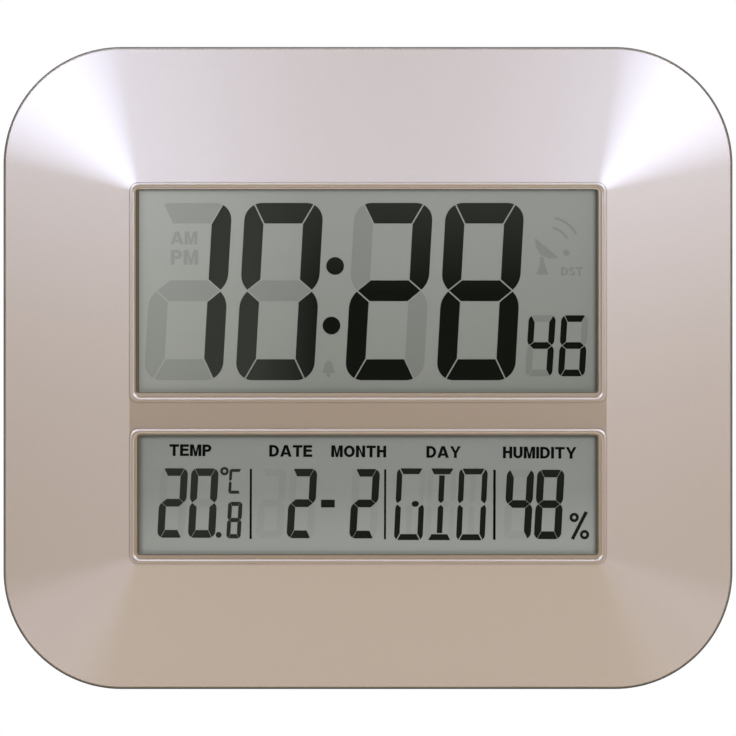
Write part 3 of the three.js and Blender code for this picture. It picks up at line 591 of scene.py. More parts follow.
def crown_outline():
    """The outline of the raised centre, which both window frames stand on."""
    reach = FRAME_BAND + PLATEAU_MARGIN
    top = UPPER.z + UPPER.height / 2 + reach
    bottom = LOWER.z - LOWER.height / 2 - reach
    width = UPPER.width + 2 * reach
    radius = WINDOW_RADIUS + FRAME_BAND / 2 + PLATEAU_MARGIN
    return outline(width, top - bottom, radius, z=(top + bottom) / 2, steps=CASE_STEPS)


def bezel_outside():
    """The bezel's outer skin, filled."""
    corner = EDGE_ROUND * math.tan(math.radians((90 - FACE_SLOPE) / 2))
    inset = RIM_PROUD + EDGE_GAP
    profile = [(-inset - SEAM_CHAMFER, PARTING), (-inset, PARTING + SEAM_CHAMFER)]
    for angle in arc(0, 90 - FACE_SLOPE, FILLET_STEPS):
        offset = -inset - EDGE_ROUND * (1 - math.cos(angle))
        profile.append((offset, BEZEL_EDGE - corner + EDGE_ROUND * math.sin(angle)))
    return loft(*stacked(case_outline, profile), (crown_outline(), PLATEAU))


def bezel_inside(inset):
    """The bezel's outer skin moved in by an inset, open towards the back."""
    side = case_outline(-RIM_PROUD - inset)
    return loft(
        (side, TOWER_TOP - CUT_OVER),
        (side, BEZEL_EDGE - inset),
        (crown_outline(), PLATEAU - inset),
    )


def window_outline(window, offset):
    """A window's outline, grown by an offset. Inside the ridge its head lies higher."""
    radius = WINDOW_RADIUS + max(offset, 0) / 2
    rise = HEAD_RISE * max(1 - offset / RIDGE_END, 0)
    height = window.height + 2 * offset + rise
    return outline(window.width + 2 * offset, height, radius, z=window.z + rise / 2)


def window_frame(window):
    """Proud rounded ridge, inner bevel and a flat lip round a window."""
    outer = FRAME_BAND - RIDGE_ROUND * (1 - math.sin(RIDGE_OUT))
    radius = (outer - RIDGE_END) / (math.sin(RIDGE_OUT) + math.sin(RIDGE_IN))
    middle = RIDGE_END + radius * math.sin(RIDGE_IN)
    foot = CREST - radius * (1 - math.cos(RIDGE_OUT)) - RIDGE_ROUND * math.cos(RIDGE_OUT)
    profile = [(FRAME_BAND, PLATEAU - WALL / 2), (FRAME_BAND, PLATEAU)]
    for angle in arc(0, 90 - math.degrees(RIDGE_OUT), FILLET_STEPS):
        offset = FRAME_BAND - RIDGE_ROUND * (1 - math.cos(angle))
        profile.append((offset, foot + RIDGE_ROUND * math.sin(angle)))
    for angle in arc(math.degrees(RIDGE_OUT), -math.degrees(RIDGE_IN), RIDGE_STEPS)[1:]:
        profile.append((middle + radius * math.sin(angle), CREST - radius * (1 - math.cos(angle))))
    profile += [
        (LIP_START + LIP_EASE, LIP_FRONT + LIP_EASE),
        (LIP_START - LIP_EASE, LIP_FRONT),
        (LIP_EASE, LIP_FRONT),
        (0.0, LIP_FRONT - LIP_EASE),
        (0.0, window.face - FRAME_SUNK),
        (FRAME_BAND, window.face - FRAME_SUNK),
    ]
    return hoop([(window_outline(window, offset), depth) for offset, depth in profile])


def window_shade_strip(window, reaches):
    """Dark strip between the frame's lip and the display that stands for the shaded gap there: painted
    shade, wider where the shade shows more.
    """
    inside = (-SHADE_STRIP_INSIDE, -SHADE_STRIP_INSIDE, HEAD_RISE - SHADE_STRIP_INSIDE, -SHADE_STRIP_INSIDE)
    steps = [(reaches, LIP_FRONT - FRAME_SUNK), (reaches, SHADE_STRIP_FRONT)]
    steps += [(inside, SHADE_STRIP_FRONT), (inside, window.face + FILM_GAP)]
    sections = []
    for (left, right, top, bottom), depth in steps:
        width = window.width + left + right
        height = window.height + top + bottom
        radius = SHADE_STRIP_RADIUS + max(bottom, 0.0)
        points = outline(width, height, radius, (right - left) / 2, window.z + (top - bottom) / 2)
        sections.append((points, depth))
    return hoop(sections)


def bezel():
    """The whole bezel with its screw bosses and the pockets that seat the displays."""
    openings = [
        prism(window_outline(window, RIDGE_END), PLATEAU - 2 * WALL, PLATEAU + CUT_OVER)
        for window in WINDOWS
    ]
    shell = carved(bezel_outside(), removed=[bezel_inside(WALL), *openings])
    envelope = bezel_inside(WALL / 2)
    bosses = []
    pilots = []
    for screws, back in ((CASE_SCREWS, TOWER_TOP), (BOARD_SCREWS, HOLDER_FRONT)):
        for screw in map(node_box, screws):
            boss = post(BOSS_RADIUS, screw, back + SEAM, PLATEAU)
            bosses.append(clipped(boss, envelope))
            pilots.append(post(PILOT_RADIUS, screw, back - CUT_OVER, screw.front + CUT_OVER))
    bpy.data.objects.remove(envelope)
    pockets = []
    for window in WINDOWS:
        width = window.width + 2 * POCKET_MARGIN
        height = window.height + 2 * POCKET_MARGIN
        back = PLATEAU - POCKET_DEPTH - CUT_OVER
        pockets.append(block(width, height, 0, window.z, back, window.face + SEAM))
    frames = [window_frame(window) for window in WINDOWS]
    carved(shell, added=[*bosses, *frames], removed=[*pockets, *pilots])
    return smooth(shell)


# Rear cover: a dish with a rounded back edge, a proud rim and everything that it carries
RIM_ROUND = 0.25
LIP_INSET = 3.0
LIP_WIDTH = 1.2
LIP_HEIGHT = 3.0
MOUTH = 0.4
HEAD_HOLE = 3.4
TOWER_RADIUS = 5.0
SCREW_SEAT = 9.0
DOOR_PIN = 1.4
DOOR_GAP = 0.3
DOOR_PIN_RADIUS = 0.5
BAY_LEDGE = 2.6
BAY_RIM = 2.6
BAY_INNER = 17.3
BAY_FLOOR = 1.5
CONTACT_TAB = 4.0
NOTCH_WIDTH = 16.0
NOTCH_HEIGHT = 6.0
NOTCH_DEPTH = 1.2
STAND_PIN = 2.2
STAND_GAP = 0.4
STAND_PIN_RADIUS = 1.4
SLOT_RADIUS = 2.4
HEAD_RADIUS = 4.8
KEYHOLE_LENGTH = 11.0
KEYHOLE_POCKET = 9.0
KEYHOLE_MARGIN = 4.0
FLANGE = 1.2
BUTTON_RADIUS = 1.6
BUTTON_GAP = 0.25
PANEL_RECESS = 1.6
PANEL_MARGIN = 3.0
CRADLE_WIDTH = 4.0
CRADLE_WALL = 2.0
SEAT_GAP = 0.3
SEAT_WALL = 1.6
SENSOR_POST = 2.0
VENT_COUNT = 5
VENT_WIDTH = 1.6
VENT_LENGTH = 14.0
VENT_PITCH = 3.6
BUTTONS = ("mode", "set", "up", "down", "alarm")

door = node_box("battery_door")
DOOR_WIDTH = door.width - 2 * DOOR_PIN
stand = node_box("table_stand")
STAND_WIDTH = stand.width - 2 * STAND_PIN
STAND_PIVOT = stand.top - stand.front / 2
DOOR_PIVOT = door.top - door.front / 2
HANG_Z = -CASE_Z


def back_profile(inset, start):
    """The cover's rounded back edge as (growth, depth) steps."""
    profile = []
    for angle in arc(0, 90, FILLET_STEPS):
        offset = -inset - BACK_INSET * (1 - math.sin(angle))
        profile.append((offset, start + BACK_ROUND * (1 - math.cos(angle))))
    return profile


def cover_shell():
    """The empty dish with its rim and the lip that centres the bezel."""
    rim_back = RIM_FRONT - RIM_BAND
    outside = shaped(
        case_outline,
        *back_profile(RIM_PROUD, 0),
        (-RIM_PROUD, rim_back),
        (-RIM_ROUND, rim_back),
        (0, rim_back + RIM_ROUND),
        (0, RIM_FRONT - RIM_ROUND),
        (-RIM_ROUND, RIM_FRONT),
        (-LIP_INSET, RIM_FRONT),
        (-LIP_INSET, RIM_FRONT + LIP_HEIGHT),
    )
    inset = LIP_INSET + LIP_WIDTH
    mouth = (-inset, RIM_FRONT + LIP_HEIGHT + CUT_OVER)
    return carved(outside, removed=[shaped(case_outline, *back_profile(inset, WALL), mouth)])


def round_hole(radius, x, z, front):
    """Cutter for a round hole with a chamfered mouth in the back."""
    return chamfered(lambda grow: disc(radius + grow, x, z), 0, front, MOUTH)


def screw_towers():
    added = []
    removed = []
    for screw in map(node_box, CASE_SCREWS):
        added.append(post(TOWER_RADIUS, screw, SEAM, TOWER_TOP))
        removed.append(round_hole(HEAD_HOLE, screw.x, screw.z, SCREW_SEAT))
        removed.append(post(PILOT_RADIUS, screw, 0, TOWER_TOP + CUT_OVER))
    return added, removed


def battery_bay():
    bay_width = DOOR_WIDTH - 2 * BAY_LEDGE
    bay_height = door.height - 2 * BAY_LEDGE
    pins = DOOR_WIDTH + 2 * (DOOR_PIN + DOOR_GAP)
    plate = node_box("plus_contact_plate")
    slot_start = node_box("upper_cell").depth
    slot_end = BAY_INNER + BAY_FLOOR + CUT_OVER
    gap = 2 * DOOR_GAP
    seat = grown(DOOR_WIDTH + gap, door.height + gap, DOOR_GAP, 0, door.z)
    notch = grown(NOTCH_WIDTH, NOTCH_HEIGHT, NOTCH_HEIGHT / 2, 0, door.bottom)
    added = [
        block(DOOR_WIDTH + 2 * BAY_RIM, door.height + 2 * BAY_RIM, 0, door.z, SEAM, BAY_INNER + BAY_FLOOR)
    ]
    removed = [
        chamfered(seat, 0, door.front + SEAM, MOUTH),
        prism(outline(bay_width, bay_height, BAY_FLOOR, 0, door.z), 0, BAY_INNER),
        bar(DOOR_PIN_RADIUS + DOOR_GAP, pins, 0, door.depth, DOOR_PIVOT),
        chamfered(notch, 0, NOTCH_DEPTH, MOUTH),
    ]
    for contact in ("plus_contact_plate", "minus_contact_plate"):
        width = plate.width + 2 * SEAT_GAP
        height = CONTACT_TAB + 2 * SEAT_GAP
        removed.append(block(width, height, plate.x, node_box(contact).z, slot_start, slot_end))
    return added, removed


def stand_recess():
    bottom = -CASE_HEIGHT / 2 - CUT_OVER
    top = stand.top + STAND_GAP
    width = STAND_WIDTH + 2 * STAND_GAP
    floor = stand.front + STAND_GAP
    middle = (top + bottom) / 2
    side = STAND_PIN + WALL
    mouth = grown(width, top - bottom, STAND_GAP, 0, middle)
    pins = width + 2 * STAND_PIN
    added = [block(width + 2 * side, top - bottom + WALL, 0, middle + WALL / 2, SEAM, floor + WALL)]
    removed = [
        chamfered(mouth, 0, floor, MOUTH),
        bar(STAND_PIN_RADIUS + STAND_GAP, pins, 0, stand.depth, STAND_PIVOT),
    ]
    return added, removed


def keyhole():
    reach = HEAD_RADIUS + KEYHOLE_MARGIN
    middle = HANG_Z - KEYHOLE_LENGTH / 2
    height = KEYHOLE_LENGTH + 2 * reach
    floor = WALL + KEYHOLE_POCKET
    through = WALL + CUT_OVER
    slot_width = 2 * SLOT_RADIUS
    slot = grown(slot_width, KEYHOLE_LENGTH + slot_width, SLOT_RADIUS, 0, middle)
    added = [block(2 * (reach + WALL), height + 2 * WALL, 0, middle, SEAM, floor + WALL)]
    removed = [
        block(2 * reach, height, 0, middle, WALL, floor),
        chamfered(slot, 0, through, MOUTH),
        round_hole(HEAD_RADIUS, 0, HANG_Z - KEYHOLE_LENGTH, through),
    ]
    return added, removed


def button_outline(button, grow):
    """A button's cap, which is a flange smaller than its box, grown by a clearance."""
    width = button.width - 2 * FLANGE + 2 * grow
    height = button.height - 2 * FLANGE + 2 * grow
    return outline(width, height, BUTTON_RADIUS + grow / 2, button.x, button.z)


def button_panel():
    buttons = [node_box(name + "_button") for name in BUTTONS]
    first = buttons[0]
    last = buttons[-1]
    width = first.width - 2 * FLANGE + 2 * PANEL_MARGIN
    height = first.top - last.bottom - 2 * FLANGE + 2 * PANEL_MARGIN
    middle = (first.z + last.z) / 2
    inner = PANEL_RECESS + WALL
    recess = grown(width, height, BUTTON_RADIUS + PANEL_MARGIN / 2, first.x, middle)
    added = [block(width + 2 * WALL, height + 2 * WALL, first.x, middle, SEAM, inner)]
    removed = [chamfered(recess, 0, PANEL_RECESS, MOUTH)]
    for button in buttons:
        removed.append(prism(button_outline(button, BUTTON_GAP), 0, inner + CUT_OVER))
    return added, removed


def antenna_cradles():
    antenna = node_box("antenna_rod")
    radius = antenna.height / 2 + SEAT_GAP
    height = 2 * (radius + CRADLE_WALL)
    reach = antenna.width / 2 - CRADLE_WIDTH
    added = [
        block(CRADLE_WIDTH, height, antenna.x + side * reach, antenna.z, SEAM, antenna.depth)
        for side in (-1, 1)
    ]
    return added, [bar(radius, antenna.width + CUT_OVER, antenna.x, antenna.depth, antenna.z)]


def vents(x, z):
    """Row of short slots through the back wall."""
    slots = []
    for i in range(VENT_COUNT):
        slot_z = z + (i - (VENT_COUNT - 1) / 2) * VENT_PITCH
        slot = grown(VENT_LENGTH, VENT_WIDTH, VENT_WIDTH / 2, x, slot_z)
        slots.append(chamfered(slot, 0, WALL + CUT_OVER, MOUTH / 2))
    return slots


def vented_seats():
    """The ring that holds the buzzer and the posts that hold the sensor board, behind their vents."""
    buzzer = node_box("buzzer")
    sensor = node_box("sensor_board")
    seat = buzzer.width / 2 + SEAT_GAP
    added = [post(seat + SEAT_WALL, buzzer, SEAM, buzzer.front)]
    for side in (-1, 1):
        x = sensor.x + side * (sensor.width / 2 - SENSOR_POST)
        added.append(prism(disc(SENSOR_POST, x, sensor.z), SEAM, sensor.back - SEAM))
    removed = [post(seat, buzzer, WALL, buzzer.front + CUT_OVER)]
    removed += vents(buzzer.x, buzzer.z)
    removed += vents(sensor.x, sensor.z)
    return added, removed


def rear_cover():
    """The whole rear cover."""
    envelope = shaped(case_outline, *back_profile(RIM_PROUD + SEAM, SEAM), (-LIP_INSET, PLATEAU))
    shell = cover_shell()
    cuts = []
    features = [screw_towers, battery_bay, stand_recess, keyhole, button_panel]
    for feature in (*features, antenna_cradles, vented_seats):
        added, removed = feature()
        carved(shell, added=[clipped(tool, envelope) for tool in added])
        cuts += removed
    bpy.data.objects.remove(envelope)
    carved(shell, removed=cuts)
    return smooth(shell)


# Battery door: rounded edges, a barrel on two pins, and grooves for the fingers
DOOR_CORNER = 0.6
DOOR_EDGE = 0.3
GRIP_COUNT = 5
GRIP_WIDTH = 22.0
GRIP_HEIGHT = 0.9
GRIP_PITCH = 1.9
GRIP_START = 5.6
GRIP_DEPTH = 0.5


def battery_door():
    height = DOOR_PIVOT - door.bottom
    middle = (DOOR_PIVOT + door.bottom) / 2
    panel = grown(DOOR_WIDTH, height, DOOR_CORNER, 0, middle)
    body = shaped(
        panel,
        (-DOOR_EDGE, door.back),
        (0, door.back + DOOR_EDGE),
        (0, door.front - DOOR_EDGE / 2),
        (-DOOR_EDGE / 2, door.front),
    )
    radius = (door.front - door.back) / 2
    added = [
        bar(radius, DOOR_WIDTH, 0, door.depth, DOOR_PIVOT),
        bar(DOOR_PIN_RADIUS, door.width, 0, door.depth, DOOR_PIVOT),
    ]
    removed = []
    for i in range(GRIP_COUNT):
        groove_z = door.bottom + GRIP_START + i * GRIP_PITCH
        groove = grown(GRIP_WIDTH, GRIP_HEIGHT, GRIP_HEIGHT / 2, 0, groove_z)
        removed.append(chamfered(groove, 0, GRIP_DEPTH, GRIP_DEPTH / 2))
    return smooth(carved(body, added, removed))


# Table stand: a frame-shaped leg with rounded edges and a thumb scoop
STAND_CORNER = 6.0
STAND_RAIL = 12.0
STAND_EDGE = 0.6
SCOOP_WIDTH = 20.0
SCOOP_HEIGHT = 5.0
SCOOP_DEPTH = 1.2
SCOOP_RISE = 6.0


def rounded_plate(make_outline, back, front, edge):
    """Plate whose two faces meet its sides in quarter rounds."""
    steps = quarter_round(edge)
    profile = [(-inset, back + depth) for inset, depth in steps]
    profile += [(-inset, front - depth) for inset, depth in reversed(steps)]
    return shaped(make_outline, *profile)


def table_stand():
    radius = (stand.front - stand.back) / 2
    height = STAND_PIVOT - stand.bottom
    middle = (STAND_PIVOT + stand.bottom) / 2
    head = STAND_CORNER / 2
    leg = grown(STAND_WIDTH, height, STAND_CORNER, 0, middle)
    body = rounded_plate(leg, stand.back, stand.front, STAND_EDGE)
    added = [
        block(STAND_WIDTH, STAND_CORNER, 0, STAND_PIVOT - head, stand.back, stand.front),
        bar(radius, STAND_WIDTH, 0, stand.depth, STAND_PIVOT),
        bar(STAND_PIN_RADIUS, stand.width, 0, stand.depth, STAND_PIVOT),
    ]
    rails = 2 * STAND_RAIL
    hole = grown(STAND_WIDTH - rails, height - rails, STAND_CORNER, 0, middle)
    window = shaped(
        hole,
        (STAND_EDGE, stand.back - CUT_OVER),
        (STAND_EDGE, stand.back),
        (0, stand.back + STAND_EDGE),
        (0, stand.front - STAND_EDGE),
        (STAND_EDGE, stand.front),
        (STAND_EDGE, stand.front + CUT_OVER),
    )
    scoop = grown(SCOOP_WIDTH, SCOOP_HEIGHT, SCOOP_HEIGHT / 2, 0, stand.bottom + SCOOP_RISE)
    removed = [window, chamfered(scoop, 0, SCOOP_DEPTH, SCOOP_DEPTH / 2)]
    return smooth(carved(body, added, removed))


# Push buttons: rounded caps on a flange and a stem
CAP_ROUND = 0.7
STEM_RADIUS = 1.8
DISH_INSET = 1.5
DISH_DEPTH = 0.25


def push_button(name):
    button = node_box(name + "_button")
    flange_back = PANEL_RECESS + WALL + SEAM
    flange_front = flange_back + FLANGE
    profile = [
        (-CAP_ROUND - DISH_INSET, button.back + DISH_DEPTH),
        (-CAP_ROUND - DISH_INSET / 2, button.back + DISH_DEPTH / 2),
    ]
    profile += [(-inset, button.back + depth) for inset, depth in quarter_round(CAP_ROUND)]
    profile += [(0, flange_back), (FLANGE, flange_back), (FLANGE, flange_front)]
    cap = shaped(lambda grow: button_outline(button, grow), *profile)
    stem = post(STEM_RADIUS, button, flange_back + FLANGE / 2, button.front)
    return smooth(carved(cap, added=[stem]))


# Case screws: domed heads with a tapered cross socket
SHANK_RADIUS = 1.45
HEAD_HEIGHT = 2.0
DOME = 0.7
DOME_START = 10
SOCKET_SPAN = 2.9
SOCKET_WIDTH = 0.75
SOCKET_ROUND = SOCKET_WIDTH / 4
SOCKET_DEPTH = 1.2
SOCKET_TAPER = 0.55
TIP = 1.2
SCREW_CREASE = math.radians(20)


def case_screw(name):
    screw = node_box(name)
    head = screw.width / 2
    seat = screw.back + HEAD_HEIGHT
    profile = []
    for angle in arc(DOME_START, 90, FILLET_STEPS):
        profile.append((head * math.sin(angle), screw.back + DOME * (1 - math.cos(angle))))
    profile += [(head, seat), (SHANK_RADIUS, seat), (SHANK_RADIUS, screw.front - TIP)]
    profile.append((SHANK_RADIUS / 2, screw.front))
    body = shaped(lambda radius: disc(radius, screw.x, screw.z), *profile)
    sockets = []
    for wide, tall in ((SOCKET_SPAN, SOCKET_WIDTH), (SOCKET_WIDTH, SOCKET_SPAN)):
        mouth = outline(wide, tall, SOCKET_ROUND, screw.x, screw.z)
        floor = outline(wide * SOCKET_TAPER, tall * SOCKET_TAPER, SOCKET_ROUND / 2, screw.x, screw.z)
        top = screw.back - CUT_OVER
        sockets.append(loft((mouth, top), (mouth, screw.back), (floor, screw.back + SOCKET_DEPTH)))
    return smooth(carved(body, removed=sockets), SCREW_CREASE)


# Battery cells: a jacket rolled over the ends, a bare nub and a bare flat end
JACKET_ROLL = 0.5
NUB_LENGTH = 1.3
NUB_RADIUS = 2.75
NUB_ROUND = 0.35
NUB_END = 20
CORE_RADIUS = 0.5
END_RADIUS = 5.6
END_DISH = 0.3
BAND_LENGTH = 13.0


def battery_cell(name, side):
    """A cell whose nub points to +X or -X."""
    cell = node_box(name)
    radius = cell.height / 2
    length = cell.width - NUB_LENGTH
    profile = [(END_DISH, CORE_RADIUS), (END_DISH, END_RADIUS - END_DISH), (0, END_RADIUS)]
    profile += [(0, END_RADIUS + END_DISH), (END_DISH, END_RADIUS + 2 * END_DISH)]
    roll = quarter_round(JACKET_ROLL)
    profile += [(along, radius - inset) for inset, along in roll]
    profile += [(length - along, radius - inset) for inset, along in reversed(roll)]
    profile += [(length, END_RADIUS), (length - END_DISH, END_RADIUS - END_DISH)]
    profile += [(length - END_DISH, NUB_RADIUS + NUB_ROUND), (length, NUB_RADIUS)]
    for angle in arc(90, NUB_END, FILLET_STEPS // 2):
        nub = NUB_RADIUS - NUB_ROUND * (1 - math.sin(angle))
        profile.append((cell.width - NUB_ROUND * (1 - math.cos(angle)), nub))
    profile.append((cell.width, CORE_RADIUS))
    start = cell.left if side > 0 else cell.right
    return smooth(rod([(side * along, r) for along, r in profile], start, cell.depth, cell.z))


# Battery springs: wire wound in open turns
SPRING_TURNS = 4
SPRING_WIRE = 0.7
SPRING_STEPS = 28
WIRE_SIDES = 10
WIRE_CREASE = math.radians(50)


def battery_spring(name, side):
    spring = node_box(name)
    radius = (spring.height - SPRING_WIRE) / 2
    start = spring.left if side > 0 else spring.right
    steps = SPRING_STEPS * SPRING_TURNS
    path = [Vector((start, spring.depth - side * radius, spring.z))]
    for i in range(steps + 1):
        angle = 2 * math.pi * i / SPRING_STEPS
        along = SPRING_WIRE + i / steps * (spring.width - 2 * SPRING_WIRE)
        x = start + side * along
        depth = spring.depth - side * radius * math.cos(angle)
        path.append(Vector((x, depth, spring.z + radius * math.sin(angle))))
    path.append(Vector((start + side * spring.width, spring.depth - side * radius, spring.z)))
    centre = Vector((0, spring.depth, spring.z))
    vertices = []
    for i, point in enumerate(path):
        ahead = path[min(i + 1, len(path) - 1)] - path[max(i - 1, 0)]
        out = point - centre
        out.x = 0
        across = ahead.cross(out).normalized()
        up = across.cross(ahead).normalized()
        for angle in turns(WIRE_SIDES):
            offset = up * math.cos(angle) + across * math.sin(angle)
            vertices.append(tuple(point + offset * SPRING_WIRE / 2))
    return smooth(capped(vertices, WIRE_SIDES), WIRE_CREASE)


# Marks on the displays: thin shapes on the polarisers, measured from the case's centre
MARK_FRONT = 0.06
GHOST_FRONT = 0.03
LOWER_TURN = math.radians(-0.22)
LABEL_TURN = math.radians(-0.4)
MITRE = 64
DEEPER = 1.07
CORNER_ACROSS = 0.86
CORNER_DOWN = 0.9
WAIST_INSET = 0.37
WAIST_ROUND = 0.85
WAIST_PULL = 0.4
WAIST_RISE = 0.005
HOOK_PLACE = 0.82
HOOK_REACH = (0.66, 0.55)
HOOK_TURN = (0, 330)
PARALLEL = 1e-9
MARK_STEPS = 8


def shrunk(points, distance):
    """An outline with every side moved in by a distance."""
    turn = sum(a[0] * b[1] - b[0] * a[1] for a, b in zip(points, points[1:] + points[:1]))
    sign = 1 if turn > 0 else -1
    lines = []
    for (ax, az), (bx, bz) in zip(points, points[1:] + points[:1]):
        length = math.hypot(bx - ax, bz - az)
        normal = (-sign * (bz - az) / length, sign * (bx - ax) / length)
        lines.append((ax + normal[0] * distance, az + normal[1] * distance, bx - ax, bz - az))
    moved = []
    for (px, pz, pu, pw), (qx, qz, qu, qw) in zip(lines[-1:] + lines[:-1], lines):
        cross = pu * qw - pw * qu
        if abs(cross) < PARALLEL:
            moved.append((qx, qz))
        else:
            share = ((qx - px) * qw - (qz - pz) * qu) / cross
            moved.append((px + share * pu, pz + share * pw))
    return moved


def segments(size):
    """The segments of one digit round the origin, by letter, as outlines."""
    stroke = size.stroke + size.gap
    deep = DEEPER * size.stroke + size.gap
    side = (size.width + size.gap) / 2
    top = (size.height + size.gap) / 2
    across = CORNER_ACROSS * stroke
    down = CORNER_DOWN * stroke
    waist = side - WAIST_INSET * stroke
    inner = side - stroke
    bend = WAIST_ROUND * stroke

    def corner(angle):
        x = side - across + across * math.cos(angle)
        return (x, top - down + down * math.sin(angle))

    right = [corner(angle) for angle in arc(MITRE, 0, MARK_STEPS)]
    for i in range(1, MARK_STEPS + 1):
        t = i / MARK_STEPS
        x = (1 - t * t) * side + t * t * waist
        right.append((x, (1 - t) ** 2 * bend + 2 * t * (1 - t) * bend * WAIST_PULL))
    right.insert(MARK_STEPS + 1, (side, bend))
    right += [(inner, deep / 2), (inner, top - deep)]
    shoulder = [corner(angle) for angle in arc(MITRE, 90, MARK_STEPS)]
    roof = shoulder + [(-x, z) for x, z in reversed(shoulder)]
    roof += [(-inner, top - deep), (inner, top - deep)]
    middle = [(waist, 0), (inner, deep / 2), (-inner, deep / 2)]
    middle += [(-waist, 0), (-inner, -deep / 2), (inner, -deep / 2)]
    half = stroke / 2
    centre = [(half, top - deep), (half, half), (0, 0), (-half, half), (-half, top - deep)]
    hook_reach = [share * stroke for share in HOOK_REACH]
    hook = swept(HOOK_PLACE * stroke, 0, *hook_reach, *HOOK_TURN)
    shapes = {
        "a": roof,
        "b": right,
        "c": [(x, -z) for x, z in right],
        "d": [(x, -z) for x, z in roof],
        "e": [(-x, -z) for x, z in right],
        "f": [(-x, z) for x, z in right],
        "g": middle,
        "i": centre,
        "k": hook,
        "l": [(x, -z) for x, z in centre],
    }
    return {letter: shrunk(points, size.gap / 2) for letter, points in shapes.items()}


DIGITS = {
    "0": "abcdef",
    "1": "bc",
    "2": "abdeg",
    "4": "bcfg",
    "6": "acdefg",
    "8": "abcdefg",
    "C": "adef",
    "G": "acdefk",
    "I": "adil",
    "O": "abcdef",
}


def digit_size(width, height, stroke, gap, lean):
    return SimpleNamespace(width=width, height=height, stroke=stroke, gap=gap, lean=lean)


TIME = digit_size(27.9, 63.1, 6.9, 0.5, 3.2)
SECONDS = digit_size(9.6, 21.7, 2.2, 0.25, 3.5)
READING = digit_size(9.7, 24.7, 2.55, 0.15, 2.9)
TENTH = digit_size(5.1, 13.0, 1.4, 0.08, 3.1)
UNIT = digit_size(4.6, 8.8, 1.0, 0.05, 3.0)
LETTER = digit_size(10.2, 25.5, 1.95, 0.4, 2.4)
TIME_Z = 27.2
SECONDS_Z = 7.9
READING_Z = -48.3
TENTH_Z = -54.3
UNIT_Z = -40.5
LETTER_Z = -48.4

# Characters as (character, place, size, height of their middle, unlit segments that still show)
TIME_CHARACTERS = (
    ("1", -64.0, TIME, TIME_Z, "adeg"),
    ("0", -31.5, TIME, TIME_Z, "g"),
    ("2", 7.5, TIME, TIME_Z, "cf"),
    ("8", 40.0, TIME, TIME_Z, ""),
    ("4", 61.4, SECONDS, SECONDS_Z, "ade"),
    ("6", 73.0, SECONDS, SECONDS_Z, "b"),
)
READING_CHARACTERS = (
    ("2", -69.5, READING, READING_Z, "cf"),
    ("0", -58.6, READING, READING_Z, "g"),
    ("8", -47.5, TENTH, TENTH_Z, ""),
    ("C", -47.2, UNIT, UNIT_Z, ""),
    (" ", -34.4, READING, READING_Z, "abcdeg"),
    ("2", -23.5, READING, READING_Z, "cf"),
    ("2", -1.2, READING, READING_Z, "cf"),
    ("G", 14.9, LETTER, LETTER_Z, "bl"),
    ("I", 25.9, LETTER, LETTER_Z, "bcefk"),
    ("O", 37.0, LETTER, LETTER_Z, "il"),
    ("4", 53.7, READING, READING_Z, "ade"),
    ("8", 64.5, READING, READING_Z, ""),
)

# Words and their middles, all on one line
LABEL_Z = -29.7
LABEL_HEIGHT = 4.15
LABELS = (("TEMP", -63.3), ("DATE", -27.6), ("MONTH", -3.4), ("DAY", 26.8), ("HUMIDITY", 61.0))
RULE_Z = -48.5
RULE_HEIGHT = 24.9
RULES = ((-41.7, 0.75), (6.1, 0.7), (45.0, 0.9))
COLON_RADIUS = 3.15
COLON = ((-11.7, 36.3), (-13.0, 15.1))
POINT_RADIUS = 1.05
POINT = (-53.1, -59.6)
DEGREE = (-51.1, -36.9)
DEGREE_RADII = (1.5, 0.6)
DASH = (-14.25, -48.3)
DASH_SIZE = (4.9, 2.75)
PERCENT_RINGS = ((73.4, -52.9), (77.1, -59.0))
PERCENT_RADII = (1.65, 0.65)
PERCENT_BAR = ((77.7, -50.9), (72.8, -60.6))
PERCENT_WIDTH = 1.2

# Signs that are off and only just show: two words, a radio mast with its waves and a bell
SIGN_WORDS = (("AM", -65.5, 46.3, 4.6), ("PM", -65.3, 39.4, 5.3), ("DST", 72.6, 34.4, 3.0))
MAST = [(59.8, 33.2), (64.2, 33.2), (63.0, 36.6), (62.4, 39.5), (61.2, 39.5), (61.2, 36.6)]
DISH = [(59.4, 46.3), (68.0, 39.1), (64.6, 39.0), (61.6, 40.2), (59.8, 42.8)]
DISH_FOCUS = (70.6, 41.0)
DISH_FOCUS_RADIUS = 1.1
WAVES = (7.6, 11.2)
WAVE_CENTRE = (64.2, 42.4)
WAVE_TURN = (28, 78)
WAVE_WIDTH = 0.8
BELL = (-14.0, 0.4)
BELL_SIZE = (4.6, 4.4)
BELL_DOME = (0.34, 0.5)
CLAPPER_RADIUS = 0.75
CLAPPER_DROP = 2.9


def turned(points, angle):
    """Points turned about the lower display's middle."""
    cos = math.cos(angle)
    sin = math.sin(angle)
    return [(x * cos - (z - LOWER.z) * sin, LOWER.z + x * sin + (z - LOWER.z) * cos) for x, z in points]


def marks(shapes, window, front, angle=0.0):
    """One object out of flat shapes that stand a little in front of a display's polariser."""
    back = window.face + FILM_GAP
    return joined([prism(turned(shape, angle), back, window.face + front) for shape in shapes])


def characters(rows):
    """Outlines of the lit and of the unlit segments in rows of characters."""
    lit = []
    unlit = []
    for character, x, size, z, ghosts in rows:
        lean = math.tan(math.radians(size.lean))
        top = size.height / 2
        rise = WAIST_RISE * size.height
        for letter, points in segments(size).items():
            raised = [(px, pz + rise * (1 - abs(pz) / top)) for px, pz in points]
            shape = [(x + px + pz * lean, z + pz) for px, pz in raised]
            if letter in DIGITS.get(character, ""):
                lit.append(shape)
            elif letter in ghosts:
                unlit.append(shape)
    return lit, unlit


